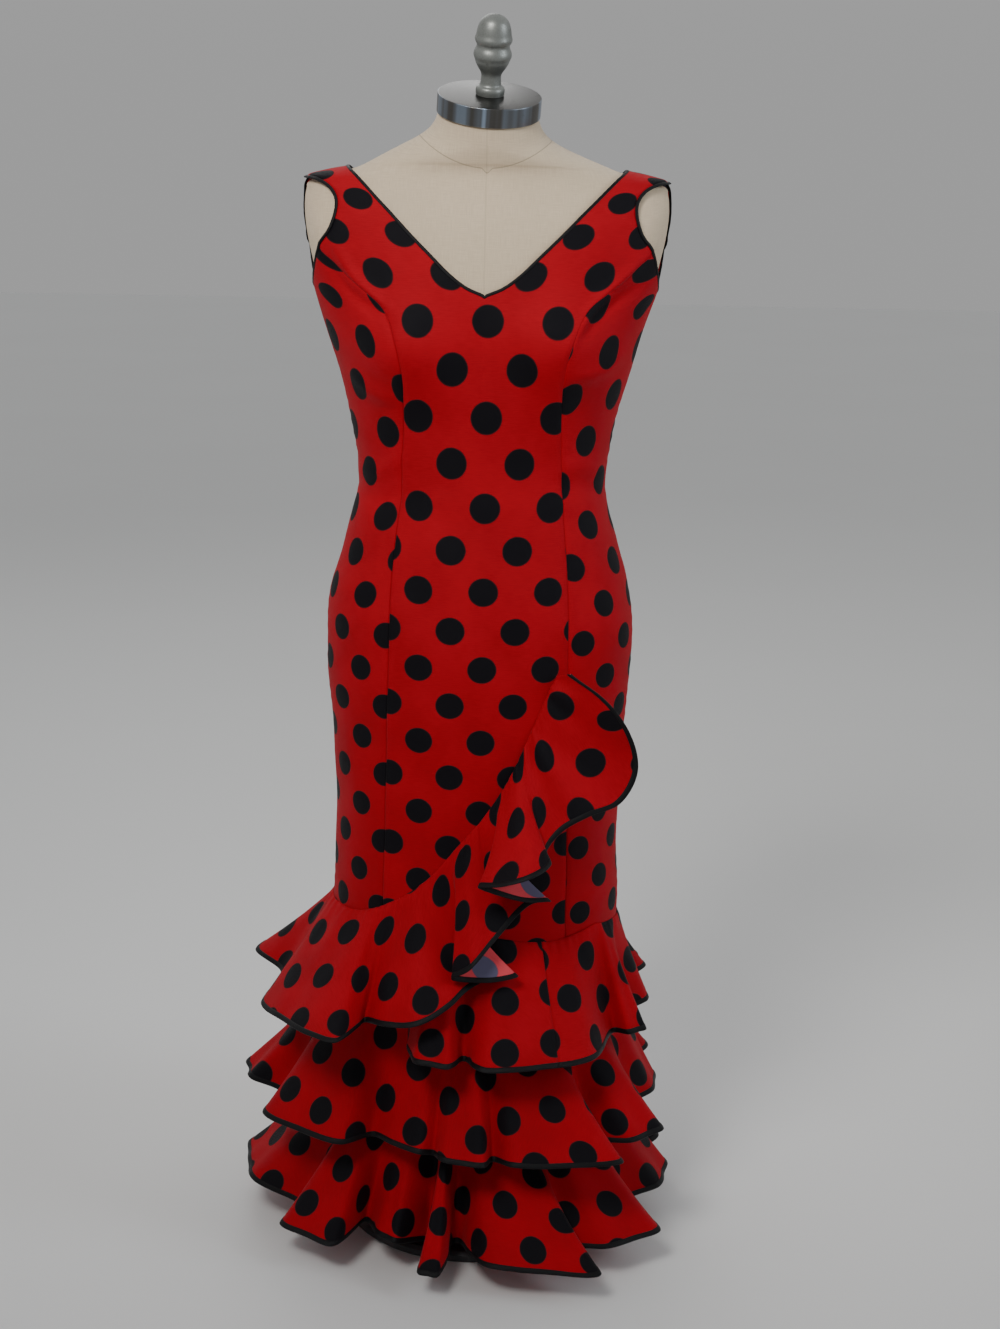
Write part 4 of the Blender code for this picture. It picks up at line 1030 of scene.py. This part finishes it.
def makeTorso():
    turns = np.linspace(0, 2 * math.pi, form["columns"] + 1)
    tilt, lean = math.tan(form["neckTilt"]), math.tan(form["neckLean"])
    rings = []
    for level in form["levels"]:
        ring = onBody(turns, np.full(len(turns), level))
        slack = form["slack"] * (1 - ramp(level, 0.020, 0.140))
        slack += form["shoulderSlack"] * ramp(level, 0.290, 0.310)
        armpit = ramp(level, 0.190, 0.240) * (1 - ramp(level, 0.318, 0.330))
        beside = ramp(np.abs(np.cos(turns)), 0.86, 0.96)
        inset = form["inset"] + slack + form["armStumpInset"] * armpit * beside
        ring = ring - outward(ring) * inset[:, None]
        if level == form["levels"][0]:
            ring[:, 2] = level
        turning = ramp(level, *form["tiltLevels"])
        steady = ramp(np.abs(ring[:, 0]), *form["leanReach"])
        ring[:, 2] += tilt * turning * ring[:, 1] - lean * turning * (1 - steady) * ring[:, 0]
        rings.append(ring)
    (lowY, lowLevel), (highY, highLevel) = form["neckFoot"], form["neckTop"]
    for share, halfWidth, halfDepth in form["neckRings"]:
        x, depth = halfWidth * np.cos(turns), halfDepth * np.sin(turns)
        y = lowY + (highY - lowY) * share + depth * math.cos(form["neckTilt"])
        level = lowLevel + (highLevel - lowLevel) * share + depth * math.sin(form["neckTilt"])
        rings.append(np.stack([x, y, level - lean * x], axis=-1))
    rings = np.array(rings)
    table = np.column_stack([np.arange(len(rings)), rings.reshape(len(rings), -1)])
    fine = smoothRows(table, np.linspace(0, len(rings) - 1, form["substeps"] * (len(rings) - 1) + 1))
    points = fine.reshape(len(fine), -1, 3)
    first = form["substeps"] * form["levels"].index(form["smoothFrom"])
    for _ in range(form["smoothings"]):
        points[first:-1] = (points[first - 1:-2] + 2 * points[first:-1] + points[first + 1:]) / 4
    around = rowLengths(points)
    quarter = 3 * form["columns"] // 4      # the middle of the front
    up = np.concatenate([[0], np.cumsum(np.linalg.norm(np.diff(points[:, quarter], axis=0), axis=1))])
    flat = np.stack([around - around[:, [quarter]], np.broadcast_to(up[:, None], around.shape)], axis=-1)
    shape = bmesh.new()
    gridSheet(shape, points, flat, False)
    bmesh.ops.remove_doubles(shape, verts=shape.verts, dist=weldDistance)
    bmesh.ops.holes_fill(shape, edges=[edge for edge in shape.edges if edge.is_boundary], sides=0)
    bmesh.ops.recalc_face_normals(shape, faces=shape.faces)
    piece = newPiece("torso_canvas", shape, [canvas], "form_torso")
    print("form: torso and neck")


def neckTurn():
    return Matrix.Rotation(form["neckLean"], 3, "Y") @ Matrix.Rotation(form["neckTilt"], 3, "X")


def neckPlace(height):
    middleY, middleLevel = form["neckTop"]
    axis = neckTurn() @ Vector((0, 0, 1))
    return Vector((0, middleY, body["waistHeight"] + middleLevel)) + axis * height


def turnedPiece(name, node, profile, place, turn, material, sharpAngle=30):
    shape = bmesh.new()
    corners = [shape.verts.new((radius, 0, height)) for radius, height in profile]
    edges = [shape.edges.new(pair) for pair in zip(corners, corners[1:])]
    bmesh.ops.spin(shape, geom=corners + edges, cent=(0, 0, 0), axis=(0, 0, 1), angle=2 * math.pi,
                   steps=form["turnSteps"], use_merge=True)
    bmesh.ops.remove_doubles(shape, verts=shape.verts, dist=weldDistance)
    bmesh.ops.holes_fill(shape, edges=[edge for edge in shape.edges if edge.is_boundary], sides=0)
    bmesh.ops.recalc_face_normals(shape, faces=shape.faces)
    bmesh.ops.transform(shape, matrix=Matrix.Translation(place) @ turn.to_4x4(), verts=shape.verts)
    piece = newPiece(name, shape, [material], node)
    piece.data.shade_smooth()
    piece.data.set_sharp_from_angle(angle=math.radians(sharpAngle))


def roundedProfile(profile, steps=4):       # more points through a turned profile
    profile = np.array(profile)
    table = np.column_stack([np.arange(len(profile)), profile])
    fine = smoothRows(table, np.linspace(0, len(profile) - 1, steps * (len(profile) - 1) + 1))
    return [(max(float(radius), 0.0), float(height)) for radius, height in fine]


def makeCapAndFinial():
    radius, height, bevel = form["capRadius"], form["capHeight"], form["capBevel"]
    corner = [(radius - bevel + bevel * math.sin(turn), bevel - bevel * math.cos(turn))
              for turn in np.linspace(0, math.pi / 2, 5)]
    profile = [(0, 0)] + corner + [(x, height - z) for x, z in reversed(corner)] + [(0, height)]
    turnedPiece("neck_cap", "form_neck_cap", profile, neckPlace(form["gap"]), neckTurn(),
                steel)
    turnedPiece("finial", "form_finial", roundedProfile(form["finial"]),
                neckPlace(form["capHeight"] + 2 * form["gap"]), neckTurn(), silver,
                60)
    print("form: cap and finial")


def finishStand():
    for name in ("stand_pole", "stand_base"):
        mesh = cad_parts[name].data
        mesh.materials.clear()
        mesh.materials.append(iron)
    print("stand: iron")


# Studio and camera
studio = {
    "floorSize": 24.0, "behind": (0.97, 0.975, 0.98), "inFront": (0.40, 0.41, 0.42),
    "atFloor": (0.585, 0.585, 0.585), "worldStrength": 0.64,
    # place, size, power, spread, colour
    "lamps": [
        ((-0.8, -1.7, 2.5), 0.9, 5.4, 60, (1.0, 0.985, 0.96)),
        ((2.4, -0.9, 1.9), 1.2, 3.2, 60, (0.86, 0.93, 1.0)),
        ((-0.6, 2.6, 2.8), 1.8, 16.0, 180, (1.0, 1.0, 1.0)),
    ],
    "aim": (0.0, 0.0, 0.95),
    "cameraPlace": (0.0235, -2.42, 1.2972), "cameraDown": math.radians(14.5),
    "cameraRoll": math.radians(1.1), "focalPixels": 2200.0, "pictureHeight": 1329.0,
    "sensor": 36.0,
}


def makeStudio():
    shape = bmesh.new()
    bmesh.ops.create_grid(shape, x_segments=8, y_segments=8, size=studio["floorSize"] / 2)
    mesh = bpy.data.meshes.new("floor")
    shape.to_mesh(mesh)
    shape.free()
    mesh.materials.append(paleFloor("pale floor"))
    floor = bpy.data.objects.new("floor", mesh)
    bpy.context.scene.collection.objects.link(floor)
    world = bpy.data.worlds.new("studio")
    world.use_nodes = True
    nodes, links = world.node_tree.nodes, world.node_tree.links
    split = nodes.new("ShaderNodeSeparateXYZ")
    links.new(nodes.new("ShaderNodeTexCoord").outputs["Generated"], split.inputs[0])

    def blend(axis, low, high, first, second):      # from the first colour to the second
        share = nodes.new("ShaderNodeMapRange")
        share.interpolation_type = "SMOOTHSTEP"
        share.inputs["From Min"].default_value = low
        share.inputs["From Max"].default_value = high
        links.new(split.outputs[axis], share.inputs["Value"])
        mix = nodes.new("ShaderNodeMix")
        mix.data_type = "RGBA"
        links.new(share.outputs["Result"], mix.inputs[0])
        for socket, colour in ((6, first), (7, second)):
            if isinstance(colour, tuple):
                mix.inputs[socket].default_value = (*colour, 1)
            else:
                links.new(colour, mix.inputs[socket])
        return mix.outputs[2]

    sky = nodes["Background"]
    upper = blend("Y", -0.5, 0.5, studio["inFront"], studio["behind"])
    links.new(blend("Z", 0.0, 0.5, studio["atFloor"], upper), sky.inputs["Color"])
    sky.inputs["Strength"].default_value = studio["worldStrength"]
    bpy.context.scene.world = world
    for count, (place, size, power, spread, colour) in enumerate(studio["lamps"]):
        data = bpy.data.lights.new(f"lamp {count}", "AREA")
        data.shape = "DISK"
        data.spread = math.radians(spread)
        data.size = size
        data.energy = power
        data.color = colour
        lamp = bpy.data.objects.new(f"lamp {count}", data)
        lamp.location = place
        lamp.rotation_euler = (Vector(studio["aim"]) - Vector(place)).to_track_quat("-Z", "Y").to_euler()
        bpy.context.scene.collection.objects.link(lamp)
    data = bpy.data.cameras.new("camera")
    data.sensor_width = studio["sensor"]
    data.lens = studio["focalPixels"] * studio["sensor"] / studio["pictureHeight"]
    camera = bpy.data.objects.new("camera", data)
    bpy.context.scene.collection.objects.link(camera)
    camera.matrix_world = (Matrix.Translation(studio["cameraPlace"])
                           @ Matrix.Rotation(math.pi / 2 - studio["cameraDown"], 4, "X")
                           @ Matrix.Rotation(studio["cameraRoll"], 4, "Z"))
    bpy.context.scene.camera = camera
    print("studio: floor,", len(studio["lamps"]), "lamps and the camera")


cotton = dottedCotton("dotted cotton", rightSide)
cottonInside = dottedCotton("dotted cotton wrong side", wrongSide)
tape = blackTape("black binding tape")
canvas = linenCanvas("linen canvas", form["neckSeam"])
steel = brushedSteel("brushed steel", neckPlace(form["gap"]), neckTurn().to_euler())
silver = silverPaint("silver paint")
iron = blackIron("black iron")

bodicePieces, bodyGrids = makeBodice()
makeOpeningTapes(bodyGrids)
flouncePieces = makeFlounces()
makeTorso()
makeCapAndFinial()
finishStand()
makeStudio()
